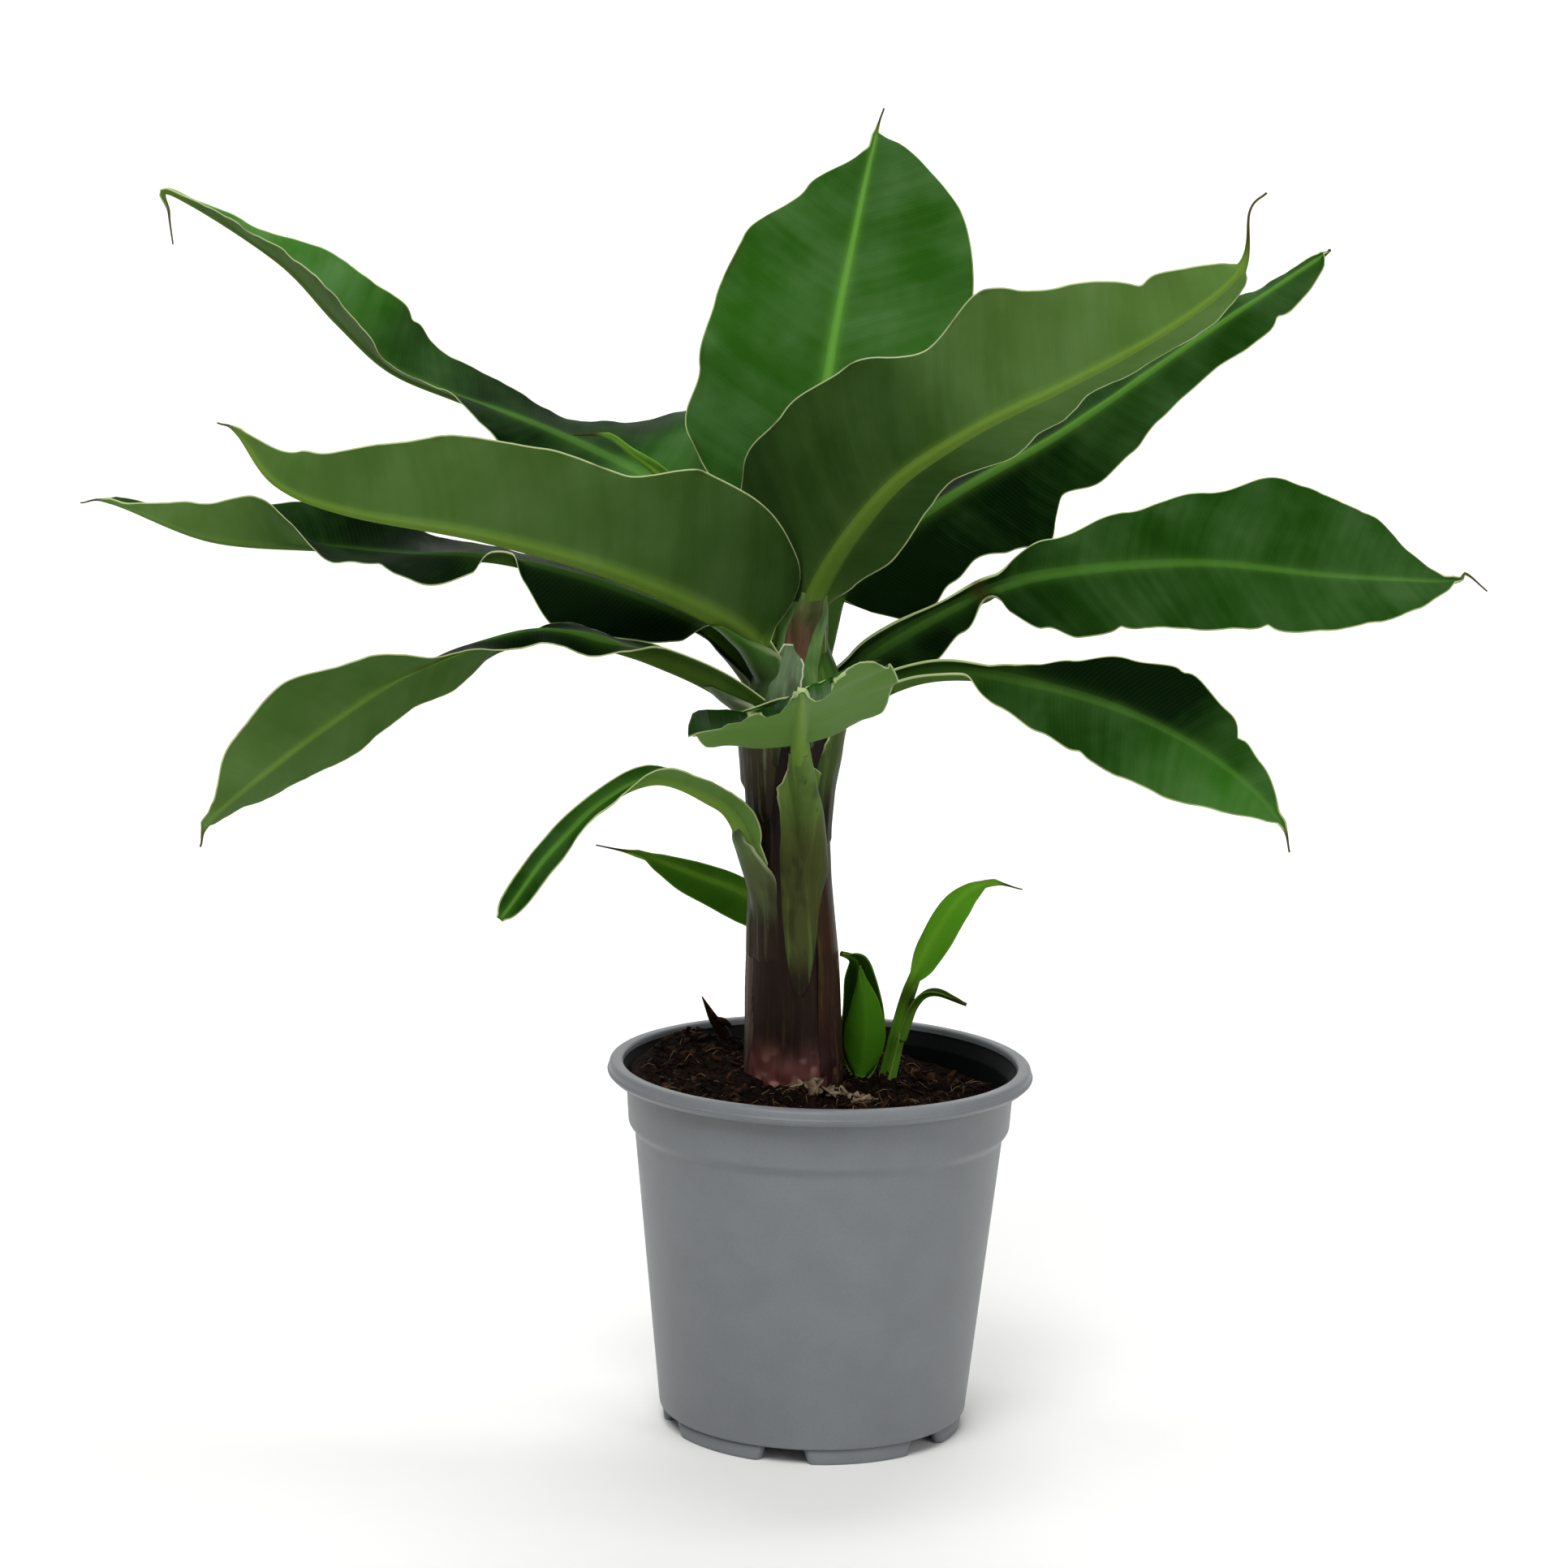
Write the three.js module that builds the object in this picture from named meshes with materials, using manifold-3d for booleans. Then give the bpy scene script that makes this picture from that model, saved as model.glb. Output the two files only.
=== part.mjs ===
// A potted dwarf banana plant: a leaning pseudostem with twelve leaves, a rolled new leaf and
// three young shoots beside it, growing in a round nursery pot filled with peat.
// Millimetres, +Z up, origin at the centre of the pot's underside. +X is the plant's right as seen
// from its front, and the front looks along -Y.
import * as THREE from "three";
import * as BufferGeometryUtils from "three/addons/utils/BufferGeometryUtils.js";
import Module from "manifold-3d";

const wasm = await Module();
wasm.setup();

// Driving dimensions of the pot
const POT_HEIGHT = 183;
const LIP_RADIUS = 105;
const LIP_HEIGHT = 8;
const LIP_WIDTH = 7.5;
const LIP_ROUND = 2;
const COLLAR_RADIUS = 95.8;
const COLLAR_TAPER = 1.6;
const COLLAR_HEIGHT = 31;
const STEP_HEIGHT = 4;
const BODY_TOP_RADIUS = 91;
const BASE_RADIUS = 76.3;
const WALL = 2.2;
const POT_SIDES = 40;

// Driving dimensions of the ring of feet and of the pad under the middle of the floor
const FOOT_COUNT = 6;
const FOOT_HEIGHT = 8;
const FOOT_DEPTH = 7;
const FOOT_INSET = 1.2;
const FOOT_ANGLE = 46;
const FOOT_DRAFT_ANGLE = 5;
const FOOT_DRAFT = 1;
const FOOT_BEARING = 49;
const FOOT_STEPS = 6;
const PAD_RADIUS = 14;
const PAD_DRAFT = 2;

// Driving dimensions of the peat: its height at the pot's axis, its slope and the mound at the stem
const PEAT_LEVEL = 169;
const PEAT_SLOPE = 0.08;
const PEAT_MOUND = 5.5;
const MOUND_RADIUS = 45;
const PEAT_RINGS = [70, 45, 22];

// Driving dimensions of the pseudostem: height above the pot's underside, then the x and y of its
// centre and its radius there
const STEM_SECTIONS = [
  [158, -13, 0, 24],
  [185, -13, 0, 23],
  [237, -15, 0, 21],
  [274, -17.2, 0, 19.4],
  [300, -18.3, 0, 19.2],
  [320, -18.7, 0, 20.8],
  [340, -18, 0, 23.5],
  [356, -17, 0, 25],
  [374, -16, 0, 21],
  [390, -15, 0, 13],
];
const STEM_CAP = 3;
const STEM_SIDES = 24;

// Driving dimensions shared by the leaves: the clearance to their neighbours, the thickness of the
// blade as a share of its length, and the stalk and the rib as shares of the stalk's half-width
const GAP = 0.35;
const THICKNESS_SHARE = 0.0105;
const THINNEST = 1.6;
const STALK_END = 0.35;
const TAIL_END = 0.3;
const RIB_DEPTH = 1.1;
const RIB_END = 0.6;
const RIB_WIDTH = 0.8;
const RIB_LIMIT = 0.45;
const STATIONS = 17;
const STATION_LENGTH = 350;
const FEWEST_STATIONS = 5;
const MID_COLUMN = 0.55;

// One entry for each leaf. route: points of the midrib from the sheath to the end of the drip tip.
// blade: the shares of the midrib's length where the blade starts and ends. stalk: half the width
// of the stalk at its start. right and left: half-widths of the blade at even steps along it. fold:
// how far each half rises from flat, and roll: how far the whole blade turns about its midrib, in
// degrees at even steps. curl: how far each half bends down across its width. bearing: the compass
// bearing of the leaf from +X, where its route doesn't give it. wave: height, count and start of
// the ripples on the margin. split: the share of its length where a strongly bent leaf is divided.
const LEAVES = {
  leaf_top: {
    route: [[-8, 10, 378], [-8, 22, 425], [-8, 44, 474], [-2, 74, 529], [8, 104, 584], [18, 128, 634],
      [22, 132, 648]],
    blade: [0.24, 0.95], stalk: 6.5, bearing: 90, peak: 0.5, blunt: 0.42,
    right: [62, 64, 66, 66, 68, 69, 54], left: [98, 86, 68, 62, 58, 38, 4],
    foldRight: [12], foldLeft: [12], roll: [0], curl: [-10], wave: [2, 3, 0.1],
  },
  leaf_upper_left: {
    route: [[-22, 8, 378], [-40, 24, 424], [-83, 50, 459], [-121, 80, 476], [-155, 100, 488],
      [-193, 112, 499], [-227, 118, 512], [-254, 122, 535], [-286, 132, 565], [-341, 140, 597],
      [-343, 142, 587], [-341, 142, 571]],
    blade: [0.14, 0.94], stalk: 6, peak: 0.45, blunt: 0.4,
    right: [60, 62, 70, 24, 33, 37, 31, 14, 5], left: [22, 24, 24, 24, 36, 24, 8],
    foldRight: [45, 35, 10, 15, 45, 40, 30], foldLeft: [-20, -30, -40, 10, 35, 35, 40],
    roll: [0], curl: [0], wave: [1.5, 4, 0.3],
  },
  spear_leaf: {
    route: [[-20, -2, 380], [-43, -6, 427], [-79, -16, 467], [-97, -18, 482], [-109, -18, 490],
      [-125, -18, 490]],
    blade: [0.3, 0.9], stalk: 4.5, peak: 0.4, blunt: 0.4,
    right: [7, 7, 6, 4], left: [7, 7, 6, 4],
    foldRight: [55], foldLeft: [55], roll: [0], curl: [0], wave: [0, 1, 0],
  },
  leaf_front_right: {
    route: [[-10, -8, 378], [-7, -22, 418], [24, -70, 471], [62, -104, 503], [103, -130, 527],
      [144, -152, 553], [172, -168, 579], [175, -172, 605], [182, -172, 613]],
    blade: [0.07, 0.9], stalk: 7, peak: 0.42, blunt: 0.35,
    right: [84, 80, 67, 57, 43, 58, 47, 38, 30], left: [14, 19, 26, 24, 20, 31, 27, 15, 23, 26, 24],
    foldRight: [10], foldLeft: [20, 50, 50], roll: [75, 70, 60], curl: [-8], wave: [1.5, 4, 0],
  },
  leaf_upper_right: {
    route: [[-9, 6, 378], [6, 34, 421], [59, 76, 457], [117, 112, 488], [189, 146, 536],
      [252, 170, 577], [256, 171, 581]],
    blade: [0.1, 0.98], stalk: 6.5, peak: 0.42, blunt: 0.35,
    right: [60, 57, 51, 42, 36, 41, 46, 28, 33, 30, 25, 23, 22, 25, 27, 24, 18],
    left: [36, 40, 40, 34, 22, 12],
    foldRight: [-60, -65, -70, -60, -50], foldLeft: [5], roll: [0], curl: [0], wave: [1.5, 5, 0.2],
  },
  leaf_front_left: {
    route: [[-27, -10, 376], [-46, -26, 401], [-100, -62, 429], [-160, -92, 448],
      [-221, -114, 460], [-253, -122, 473], [-270, -126, 496], [-279, -127, 500]],
    blade: [0.06, 0.97], stalk: 7, peak: 0.4, blunt: 0.28,
    right: [34, 44, 46, 46, 36, 20], left: [60, 65, 62, 46, 48, 49, 41, 30, 10],
    foldRight: [20], foldLeft: [80, 75, 75], roll: [0], curl: [-6], wave: [1.5, 4, 0.4],
  },
  leaf_left: {
    route: [[-28, -2, 364], [-57, 4, 395], [-111, 18, 416], [-168, 34, 426], [-211, 46, 425],
      [-252, 54, 426], [-310, 62, 428], [-360, 66, 445], [-376, 68, 444]],
    blade: [0.08, 0.96], stalk: 6, peak: 0.45, blunt: 0.35,
    right: [30, 40, 30, 36, 36, 20], left: [10, 28, 34, 5, 26, 36, 32, 25, 6],
    foldRight: [10, 0, 0, 5, 42, 30, 20], foldLeft: [-60, -60, -50, -5, 75, 75],
    roll: [0], curl: [0], wave: [1.5, 4, 0.1],
  },
  leaf_lower_left: {
    route: [[-26, -10, 352], [-55, -30, 375], [-90, -54, 392], [-130, -82, 405],
      [-162, -104, 401], [-193, -120, 389], [-218, -134, 373], [-248, -146, 350],
      [-278, -152, 324], [-283, -152, 311]],
    blade: [0.2, 0.97], stalk: 6.5, peak: 0.5, blunt: 0.35,
    right: [20, 20, 20, 25, 26, 27, 31, 35, 26], left: [12, 14, 16, 14, 18, 24, 38, 32, 7],
    foldRight: [15, 10, 0, 0, 15, 30, 40], foldLeft: [-60, -60, -50, -50, -10, 0, 0],
    roll: [0, 0, -30, -60, -75, -80, -80], curl: [0], wave: [1.5, 3, 0.6],
  },
  leaf_right: {
    route: [[-9, 2, 356], [23, 20, 385], [77, 46, 412], [120, 66, 421], [188, 92, 424],
      [257, 112, 417], [320, 126, 414], [328, 127, 418], [340, 128, 409]],
    blade: [0.06, 0.94], stalk: 6.5, peak: 0.45, blunt: 0.35,
    right: [16, 21, 26, 17, 7, 29, 36, 35, 35, 37, 38, 39, 40, 41, 41, 34, 20],
    left: [16, 9, 5, 19, 29, 42, 62, 54, 8],
    foldRight: [-10, -10, -10, 10], foldLeft: [10], roll: [-45, -50, -50], curl: [0],
    wave: [1.5, 6, 0.2],
  },
  leaf_lower_right: {
    route: [[-7, -4, 348], [26, -16, 372], [63, -38, 383], [121, -70, 376], [162, -94, 362],
      [192, -108, 343], [208, -114, 326], [212, -114, 313]],
    blade: [0.22, 0.95], stalk: 6, peak: 0.55, blunt: 0.4,
    right: [5, 9, 20, 26, 30, 32, 33, 27, 14], left: [5, 6, 9, 17, 25, 31, 25, 17, 7],
    foldRight: [0], foldLeft: [10], roll: [-50], curl: [0], wave: [1, 4, 0.5],
  },
  leaf_front: {
    route: [[-6, -12, 282], [-9, -25, 316], [-14, -44, 344], [-14, -92, 364], [-14, -144, 381],
      [-14, -196, 394]],
    blade: [0.34, 1], stalk: 6.5, bearing: -92, peak: 0.45, blunt: 0.4,
    right: [50, 52, 50, 34], left: [44, 48, 46, 34],
    foldRight: [-10, -10, 0], foldLeft: [15, 25, 32], roll: [0], curl: [0], wave: [2.5, 4, 0],
  },
  leaf_small_left: {
    route: [[-24, -6, 252], [-42, -22, 304], [-58, -34, 320], [-82, -50, 330], [-107, -60, 319],
      [-131, -66, 296], [-154, -68, 264]],
    blade: [0.19, 1], stalk: 6, peak: 0.5, blunt: 0.4, split: 0.56,
    right: [12, 12, 9, 7, 9, 13], left: [20, 16, 12, 7, 9, 13],
    foldRight: [30], foldLeft: [30, 30, 0], roll: [0, 0, 0, 30, 60, 60], curl: [0],
    wave: [1, 3, 0],
  },
  leaf_back: {
    route: [[-14, 8, 374], [-10, 44, 420], [0, 100, 446], [10, 165, 446], [16, 225, 416],
      [17, 235, 408]],
    blade: [0.14, 0.96], stalk: 6.5, bearing: 88, peak: 0.45, blunt: 0.4,
    right: [40, 50, 48, 30], left: [40, 50, 48, 30],
    foldRight: [18], foldLeft: [18], roll: [0], curl: [-20], wave: [2, 4, 0.3],
  },
  shoot_rear: {
    route: [[-3, 36, 158], [-11, 46, 225], [-32, 58, 250], [-64, 66, 262], [-95, 72, 271],
      [-116, 74, 275]],
    blade: [0.4, 0.89], stalk: 5, peak: 0.4, blunt: 0.5,
    right: [8, 8, 8, 6], left: [12, 15, 14, 8],
    foldRight: [10], foldLeft: [-10], roll: [45], curl: [0], wave: [1, 2, 0],
  },
  shoot_near: {
    route: [[18, 16, 158], [20, 15, 180], [21, 14, 202], [19, 12, 221], [17, 6, 233], [9, 2, 237]],
    blade: [0.12, 1], stalk: 4, bearing: 90, peak: 0.4, blunt: 0.5,
    right: [11, 11, 10, 9], left: [9, 11, 10, 7],
    foldRight: [8], foldLeft: [8], roll: [0], curl: [0], wave: [0, 1, 0],
  },
  shoot_far: {
    route: [[32, 22, 158], [39, 22, 192], [45, 22, 216], [55, 24, 240], [69, 28, 261],
      [84, 30, 268], [99, 32, 265]],
    blade: [0.4, 0.9], stalk: 4.5, peak: 0.5, blunt: 0.5,
    right: [10, 10, 10, 6], left: [6, 7, 7, 4],
    foldRight: [-10], foldLeft: [20], roll: [-40], curl: [0], wave: [0.6, 2, 0],
  },
  shoot_far_leaf: {
    route: [[40, 20, 190], [47, 16, 209], [56, 14, 215], [72, 12, 210]],
    blade: [0.15, 1], stalk: 2.5, peak: 0.5, blunt: 0.5,
    right: [4, 5, 3], left: [4, 5, 3],
    foldRight: [20], foldLeft: [20], roll: [0], curl: [0], wave: [0, 1, 0],
  },
};

const { clamp, degToRad, lerp, mapLinear, smoothstep } = THREE.MathUtils;

// Heights of the pot that several pieces share
const LIP_FOOT = POT_HEIGHT - LIP_HEIGHT;
const STEP_TOP = POT_HEIGHT - COLLAR_HEIGHT;
const STEP_FOOT = STEP_TOP - STEP_HEIGHT;
const FLOOR = FOOT_HEIGHT + WALL;

// Materials, one for each finish that shows
const plastic = new THREE.MeshStandardMaterial({ color: 0x6f7377, roughness: 0.5, metalness: 0 });
const peat = new THREE.MeshStandardMaterial({ color: 0x2e2019, roughness: 0.95, metalness: 0 });
const stemSkin = new THREE.MeshStandardMaterial({ color: 0x4c4630, roughness: 0.6, metalness: 0 });
const leafSkin = new THREE.MeshStandardMaterial({ color: 0x2c4f24, roughness: 0.5, metalness: 0 });
const youngSkin = new THREE.MeshStandardMaterial({ color: 0x3c8a24, roughness: 0.5, metalness: 0 });

// Value at t, from 0 to 1, of keys set at even steps, eased from each key to the next
function along(keys, t) {
  const place = clamp(t, 0, 1) * (keys.length - 1);
  const step = Math.min(Math.floor(place), Math.max(keys.length - 2, 0));
  const next = Math.min(step + 1, keys.length - 1);
  return lerp(keys[step], keys[next], smoothstep(place - step, 0, 1));
}

// A manifold solid from vertices and triangles, turned right side out
function solidOf(vertices, triangles) {
  const mesh = new wasm.Mesh({
    numProp: 3,
    vertProperties: new Float32Array(vertices),
    triVerts: new Uint32Array(triangles),
  });
  return new wasm.Manifold(mesh);
}

// A manifold solid from a closed three.js geometry
function solidFromGeometry(geometry) {
  geometry.deleteAttribute("normal");
  geometry.deleteAttribute("uv");
  const merged = BufferGeometryUtils.mergeVertices(geometry, 1e-4);
  return solidOf(merged.attributes.position.array, merged.index.array);
}

// The named three.js mesh of a manifold solid
function meshOf(solid, name, material) {
  const { vertProperties, triVerts } = solid.getMesh();
  const geometry = new THREE.BufferGeometry();
  geometry.setAttribute("position", new THREE.BufferAttribute(vertProperties, 3));
  geometry.setIndex(new THREE.BufferAttribute(triVerts, 1));
  const mesh = new THREE.Mesh(geometry, material);
  mesh.name = name;
  return mesh;
}

// The largest of the separate bodies of a solid
function largestOf(solid) {
  return solid.decompose().reduce((best, body) => (body.volume() > best.volume() ? body : best));
}

// A solid skinned over rings of points, with a point at each end; each ring has the same count
function skin(first, rings, last) {
  const count = rings[0].length;
  const points = [first, ...rings.flat(), last];
  const triangles = [];
  const at = (ring, side) => 1 + ring * count + (side % count);
  for (let side = 0; side < count; side += 1) {
    triangles.push(0, at(0, side + 1), at(0, side));
    for (let ring = 0; ring < rings.length - 1; ring += 1) {
      triangles.push(at(ring, side), at(ring, side + 1), at(ring + 1, side + 1));
      triangles.push(at(ring, side), at(ring + 1, side + 1), at(ring + 1, side));
    }
    triangles.push(points.length - 1, at(rings.length - 1, side), at(rings.length - 1, side + 1));
  }
  return solidOf(points.flat(), triangles);
}

// A level ring of points about a centre
function ringAt(x, y, z, radius, sides) {
  return Array.from({ length: sides }, (_, side) => {
    const angle = (2 * Math.PI * side) / sides;
    return [x + radius * Math.cos(angle), y + radius * Math.sin(angle), z];
  });
}

// Radius of the outside of the pot's wall, without its lip, at a height
function wallRadius(z) {
  if (z < STEP_FOOT) {
    return mapLinear(z, FOOT_HEIGHT, STEP_FOOT, BASE_RADIUS, BODY_TOP_RADIUS);
  }
  if (z < STEP_TOP) {
    return mapLinear(z, STEP_FOOT, STEP_TOP, BODY_TOP_RADIUS, COLLAR_RADIUS - COLLAR_TAPER);
  }
  return mapLinear(z, STEP_TOP, LIP_FOOT, COLLAR_RADIUS - COLLAR_TAPER, COLLAR_RADIUS);
}

// The pot: a turned body with a rolled lip and a stepped collar, on a ring of feet and a middle pad
function makePot() {
  const throat = LIP_FOOT - WALL;
  const outside = [
    [0, FOOT_HEIGHT], [BASE_RADIUS, FOOT_HEIGHT], [BODY_TOP_RADIUS, STEP_FOOT],
    [wallRadius(STEP_TOP), STEP_TOP], [COLLAR_RADIUS, LIP_FOOT],
  ];
  const lip = [
    [LIP_RADIUS - LIP_ROUND / 2, LIP_FOOT], [LIP_RADIUS, LIP_FOOT + LIP_ROUND],
    [LIP_RADIUS, POT_HEIGHT - LIP_ROUND], [LIP_RADIUS - LIP_ROUND, POT_HEIGHT],
    [LIP_RADIUS - LIP_WIDTH + LIP_ROUND / 2, POT_HEIGHT], [LIP_RADIUS - LIP_WIDTH, POT_HEIGHT - LIP_ROUND],
  ];
  const inside = [throat, STEP_TOP, STEP_FOOT, FLOOR].map((z) => [wallRadius(z) - WALL, z]);
  const profile = [...outside, ...lip, ...inside, [0, FLOOR]];
  const lathe = new THREE.LatheGeometry(profile.map(([r, z]) => new THREE.Vector2(r, z)), POT_SIDES);
  lathe.rotateX(Math.PI / 2);
  let pot = solidFromGeometry(lathe);
  const reach = FOOT_HEIGHT + WALL / 2;
  for (let foot = 0; foot < FOOT_COUNT; foot += 1) {
    pot = pot.add(footBlock(FOOT_BEARING + (360 / FOOT_COUNT) * foot, reach));
  }
  const low = ringAt(0, 0, 0, PAD_RADIUS, STEM_SIDES);
  const high = ringAt(0, 0, reach, PAD_RADIUS + PAD_DRAFT, STEM_SIDES);
  return pot.add(skin([0, 0, 0], [low, high], [0, 0, reach]));
}

// One foot: a curved block under the wall, narrower at its sole than at its root
function footBlock(middle, reach) {
  const outer = BASE_RADIUS - FOOT_INSET;
  const inner = outer - FOOT_DEPTH;
  const rows = [];
  for (let step = 0; step <= FOOT_STEPS; step += 1) {
    const share = step / FOOT_STEPS - 0.5;
    const corner = (radius, z, spread) => {
      const angle = degToRad(middle + share * spread);
      return [radius * Math.cos(angle), radius * Math.sin(angle), z];
    };
    rows.push([
      corner(inner, 0, FOOT_ANGLE - FOOT_DRAFT_ANGLE),
      corner(outer - FOOT_DRAFT, 0, FOOT_ANGLE - FOOT_DRAFT_ANGLE),
      corner(outer, reach, FOOT_ANGLE),
      corner(inner - FOOT_DRAFT, reach, FOOT_ANGLE),
    ]);
  }
  const centre = (row) => [0, 1, 2].map((axis) => row.reduce((sum, p) => sum + p[axis], 0) / row.length);
  return skin(centre(rows[0]), rows, centre(rows.at(-1)));
}

// Height of the peat's surface over a point of the pot's plan
function peatHeight(x, y) {
  const [, stemX, stemY] = STEM_SECTIONS[0];
  const away = Math.hypot(x - stemX, y - stemY) / MOUND_RADIUS;
  return PEAT_LEVEL - PEAT_SLOPE * x + PEAT_MOUND * Math.exp(-away * away);
}

// The peat: fills the pot to its sloping surface
function makePeat() {
  const bottom = FLOOR + GAP;
  const inset = WALL + GAP;
  const edge = wallRadius(STEP_TOP) - inset;
  const over = ([x, y]) => [x, y, peatHeight(x, y)];
  const brim = ringAt(0, 0, 0, edge, POT_SIDES).map(([x, y]) => {
    const reach = (wallRadius(peatHeight(x, y)) - inset) / edge;
    return over([x * reach, y * reach]);
  });
  const sides = [bottom, STEP_FOOT, STEP_TOP].map((z) => ringAt(0, 0, z, wallRadius(z) - inset, POT_SIDES));
  const tops = PEAT_RINGS.map((radius) => ringAt(0, 0, 0, radius, POT_SIDES).map(over));
  return skin([0, 0, bottom], [...sides, brim, ...tops], over([0, 0]));
}

// The pseudostem: a leaning, tapering stem that swells where its leaves part
function makeStem(grow) {
  const rings = STEM_SECTIONS.map(([z, x, y, radius], level) =>
    ringAt(x, y, level === 0 ? z - grow : z, radius + grow, STEM_SIDES));
  const [bottom, bottomX, bottomY] = STEM_SECTIONS[0];
  const [top, topX, topY] = STEM_SECTIONS.at(-1);
  return skin([bottomX, bottomY, bottom - grow], rings, [topX, topY, top + STEM_CAP + grow]);
}

// The smooth curve of a leaf's midrib
function midribOf(leaf) {
  const points = leaf.route.map((point) => new THREE.Vector3(...point));
  const curve = new THREE.CatmullRomCurve3(points, false, "catmullrom", 0.5);
  curve.arcLengthDivisions = 400;
  return curve;
}

// The frame of a leaf at the share s of its midrib: its centre, its axes and its place on the blade
function leafFrame(leaf, curve, s) {
  const centre = curve.getPointAt(s);
  const tangent = curve.getTangentAt(s);
  const run = leaf.route.at(-1).map((value, axis) => value - leaf.route[0][axis]);
  const bearing = leaf.bearing === undefined ? Math.atan2(run[1], run[0]) : degToRad(leaf.bearing);
  const side = new THREE.Vector3(Math.sin(bearing), -Math.cos(bearing), 0);
  side.addScaledVector(tangent, -side.dot(tangent)).normalize();
  const up = new THREE.Vector3().crossVectors(side, tangent);
  const t = clamp((s - leaf.blade[0]) / (leaf.blade[1] - leaf.blade[0]), 0, 1);
  const roll = degToRad(along(leaf.roll, t));
  const across = side.clone().multiplyScalar(Math.cos(roll)).addScaledVector(up, Math.sin(roll));
  const normal = up.clone().multiplyScalar(Math.cos(roll)).addScaledVector(side, -Math.sin(roll));
  return { centre, tangent, across, normal, t };
}

// How full the blade is at t: nothing at both ends, one where it is widest
function fullness(leaf, t) {
  const lean = Math.log(0.5) / Math.log(leaf.peak);
  return Math.max(Math.sin(Math.PI * t ** lean), 0) ** leaf.blunt;
}

// Point and surface normal at the share u of a half's width; the half bends as an arc of a circle
function bladePoint(leaf, frame, half, width, u) {
  const fold = degToRad(along(half > 0 ? leaf.foldRight : leaf.foldLeft, frame.t));
  const curl = degToRad(along(leaf.curl, frame.t)) || 1e-6;
  const turn = fold + curl * u;
  const reach = (width / curl) * (Math.sin(turn) - Math.sin(fold));
  const rise = (width / curl) * (Math.cos(fold) - Math.cos(turn));
  const normal = frame.normal.clone().multiplyScalar(Math.cos(turn));
  normal.addScaledVector(frame.across, -half * Math.sin(turn));
  const [height, count, start] = leaf.wave;
  const ripple = height * u * u * Math.sin(2 * Math.PI * (count * frame.t + start));
  const point = frame.centre.clone().addScaledVector(frame.across, half * reach);
  point.addScaledVector(frame.normal, rise);
  point.addScaledVector(normal, ripple * fullness(leaf, frame.t));
  return { point, normal };
}

// A leaf, or the stretch of it from one share of its length to another, as one closed blade with
// its rib below and its stalk, swollen by grow on all sides
function makeLeaf(leaf, grow, from = 0, to = 1) {
  const curve = midribOf(leaf);
  const length = curve.getLength();
  const blade = Math.max(length * THICKNESS_SHARE, THINNEST);
  const wanted = Math.round(STATIONS * Math.sqrt(length / STATION_LENGTH) * (to - from));
  const stations = Math.max(wanted, FEWEST_STATIONS);
  const columns = [[-1, 1], [-1, MID_COLUMN], [-1, 0], [0, 0], [1, 0], [1, MID_COLUMN], [1, 1]];
  const upper = [];
  const lower = [];
  for (let station = 0; station <= stations; station += 1) {
    const s = lerp(from, to, station / stations);
    const frame = leafFrame(leaf, curve, s);
    if (station === 0 || station === stations) {
      frame.centre.addScaledVector(frame.tangent, station === 0 ? -grow : grow);
    }
    const tail = s > leaf.blade[1] ? (1 - s) / (1 - leaf.blade[1]) : 1;
    const stalk = leaf.stalk * lerp(1, STALK_END, s) * lerp(TAIL_END, 1, tail);
    const thick = lerp(THINNEST, blade, tail) / 2 + grow;
    const rib = lerp(leaf.stalk * RIB_DEPTH, RIB_END, s) * tail;
    const top = [];
    const bottom = [];
    for (const [half, place] of columns) {
      const keyed = along(half < 0 ? leaf.left : leaf.right, frame.t);
      const width = Math.max(fullness(leaf, frame.t) * keyed, stalk) + grow;
      const ribEdge = half === 0 ? 0 : Math.min((stalk * RIB_WIDTH) / width, RIB_LIMIT);
      const { point, normal } = bladePoint(leaf, frame, half || 1, width, place || ribEdge);
      const depth = place > 0 ? 0 : rib * (half === 0 ? 1 : 0.5);
      top.push(point.clone().addScaledVector(normal, thick).toArray());
      bottom.push(point.clone().addScaledVector(normal, -thick - depth).toArray());
    }
    upper.push(top);
    lower.push(bottom);
  }
  return bladeSolid(upper, lower);
}

// The closed solid between an upper and a lower grid of points, with walls round its edge
function bladeSolid(upper, lower) {
  const rows = upper.length;
  const columns = upper[0].length;
  const end = rows - 1;
  const last = columns - 1;
  const points = [...upper.flat(), ...lower.flat()];
  const above = (row, column) => row * columns + column;
  const below = (row, column) => rows * columns + above(row, column);
  const triangles = [];
  const quad = (a, b, c, d) => triangles.push(a, b, c, a, c, d);
  for (let row = 0; row < end; row += 1) {
    for (let column = 0; column < last; column += 1) {
      quad(above(row, column), above(row, column + 1), above(row + 1, column + 1), above(row + 1, column));
      quad(below(row, column), below(row + 1, column), below(row + 1, column + 1), below(row, column + 1));
    }
    quad(below(row, 0), above(row, 0), above(row + 1, 0), below(row + 1, 0));
    quad(above(row, last), below(row, last), below(row + 1, last), above(row + 1, last));
  }
  for (let column = 0; column < last; column += 1) {
    quad(below(0, column), below(0, column + 1), above(0, column + 1), above(0, column));
    quad(above(end, column), above(end, column + 1), below(end, column + 1), below(end, column));
  }
  return solidOf(points.flat(), triangles);
}

// The stretches of a leaf that are nodes of their own: its name, where it starts and where it ends
function stretchesOf(name, leaf) {
  if (leaf.split === undefined) {
    return [[name, 0, 1]];
  }
  const half = GAP / midribOf(leaf).getLength() / 2;
  return [[name, 0, leaf.split - half], [`${name}_tip`, leaf.split + half, 1]];
}

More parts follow.
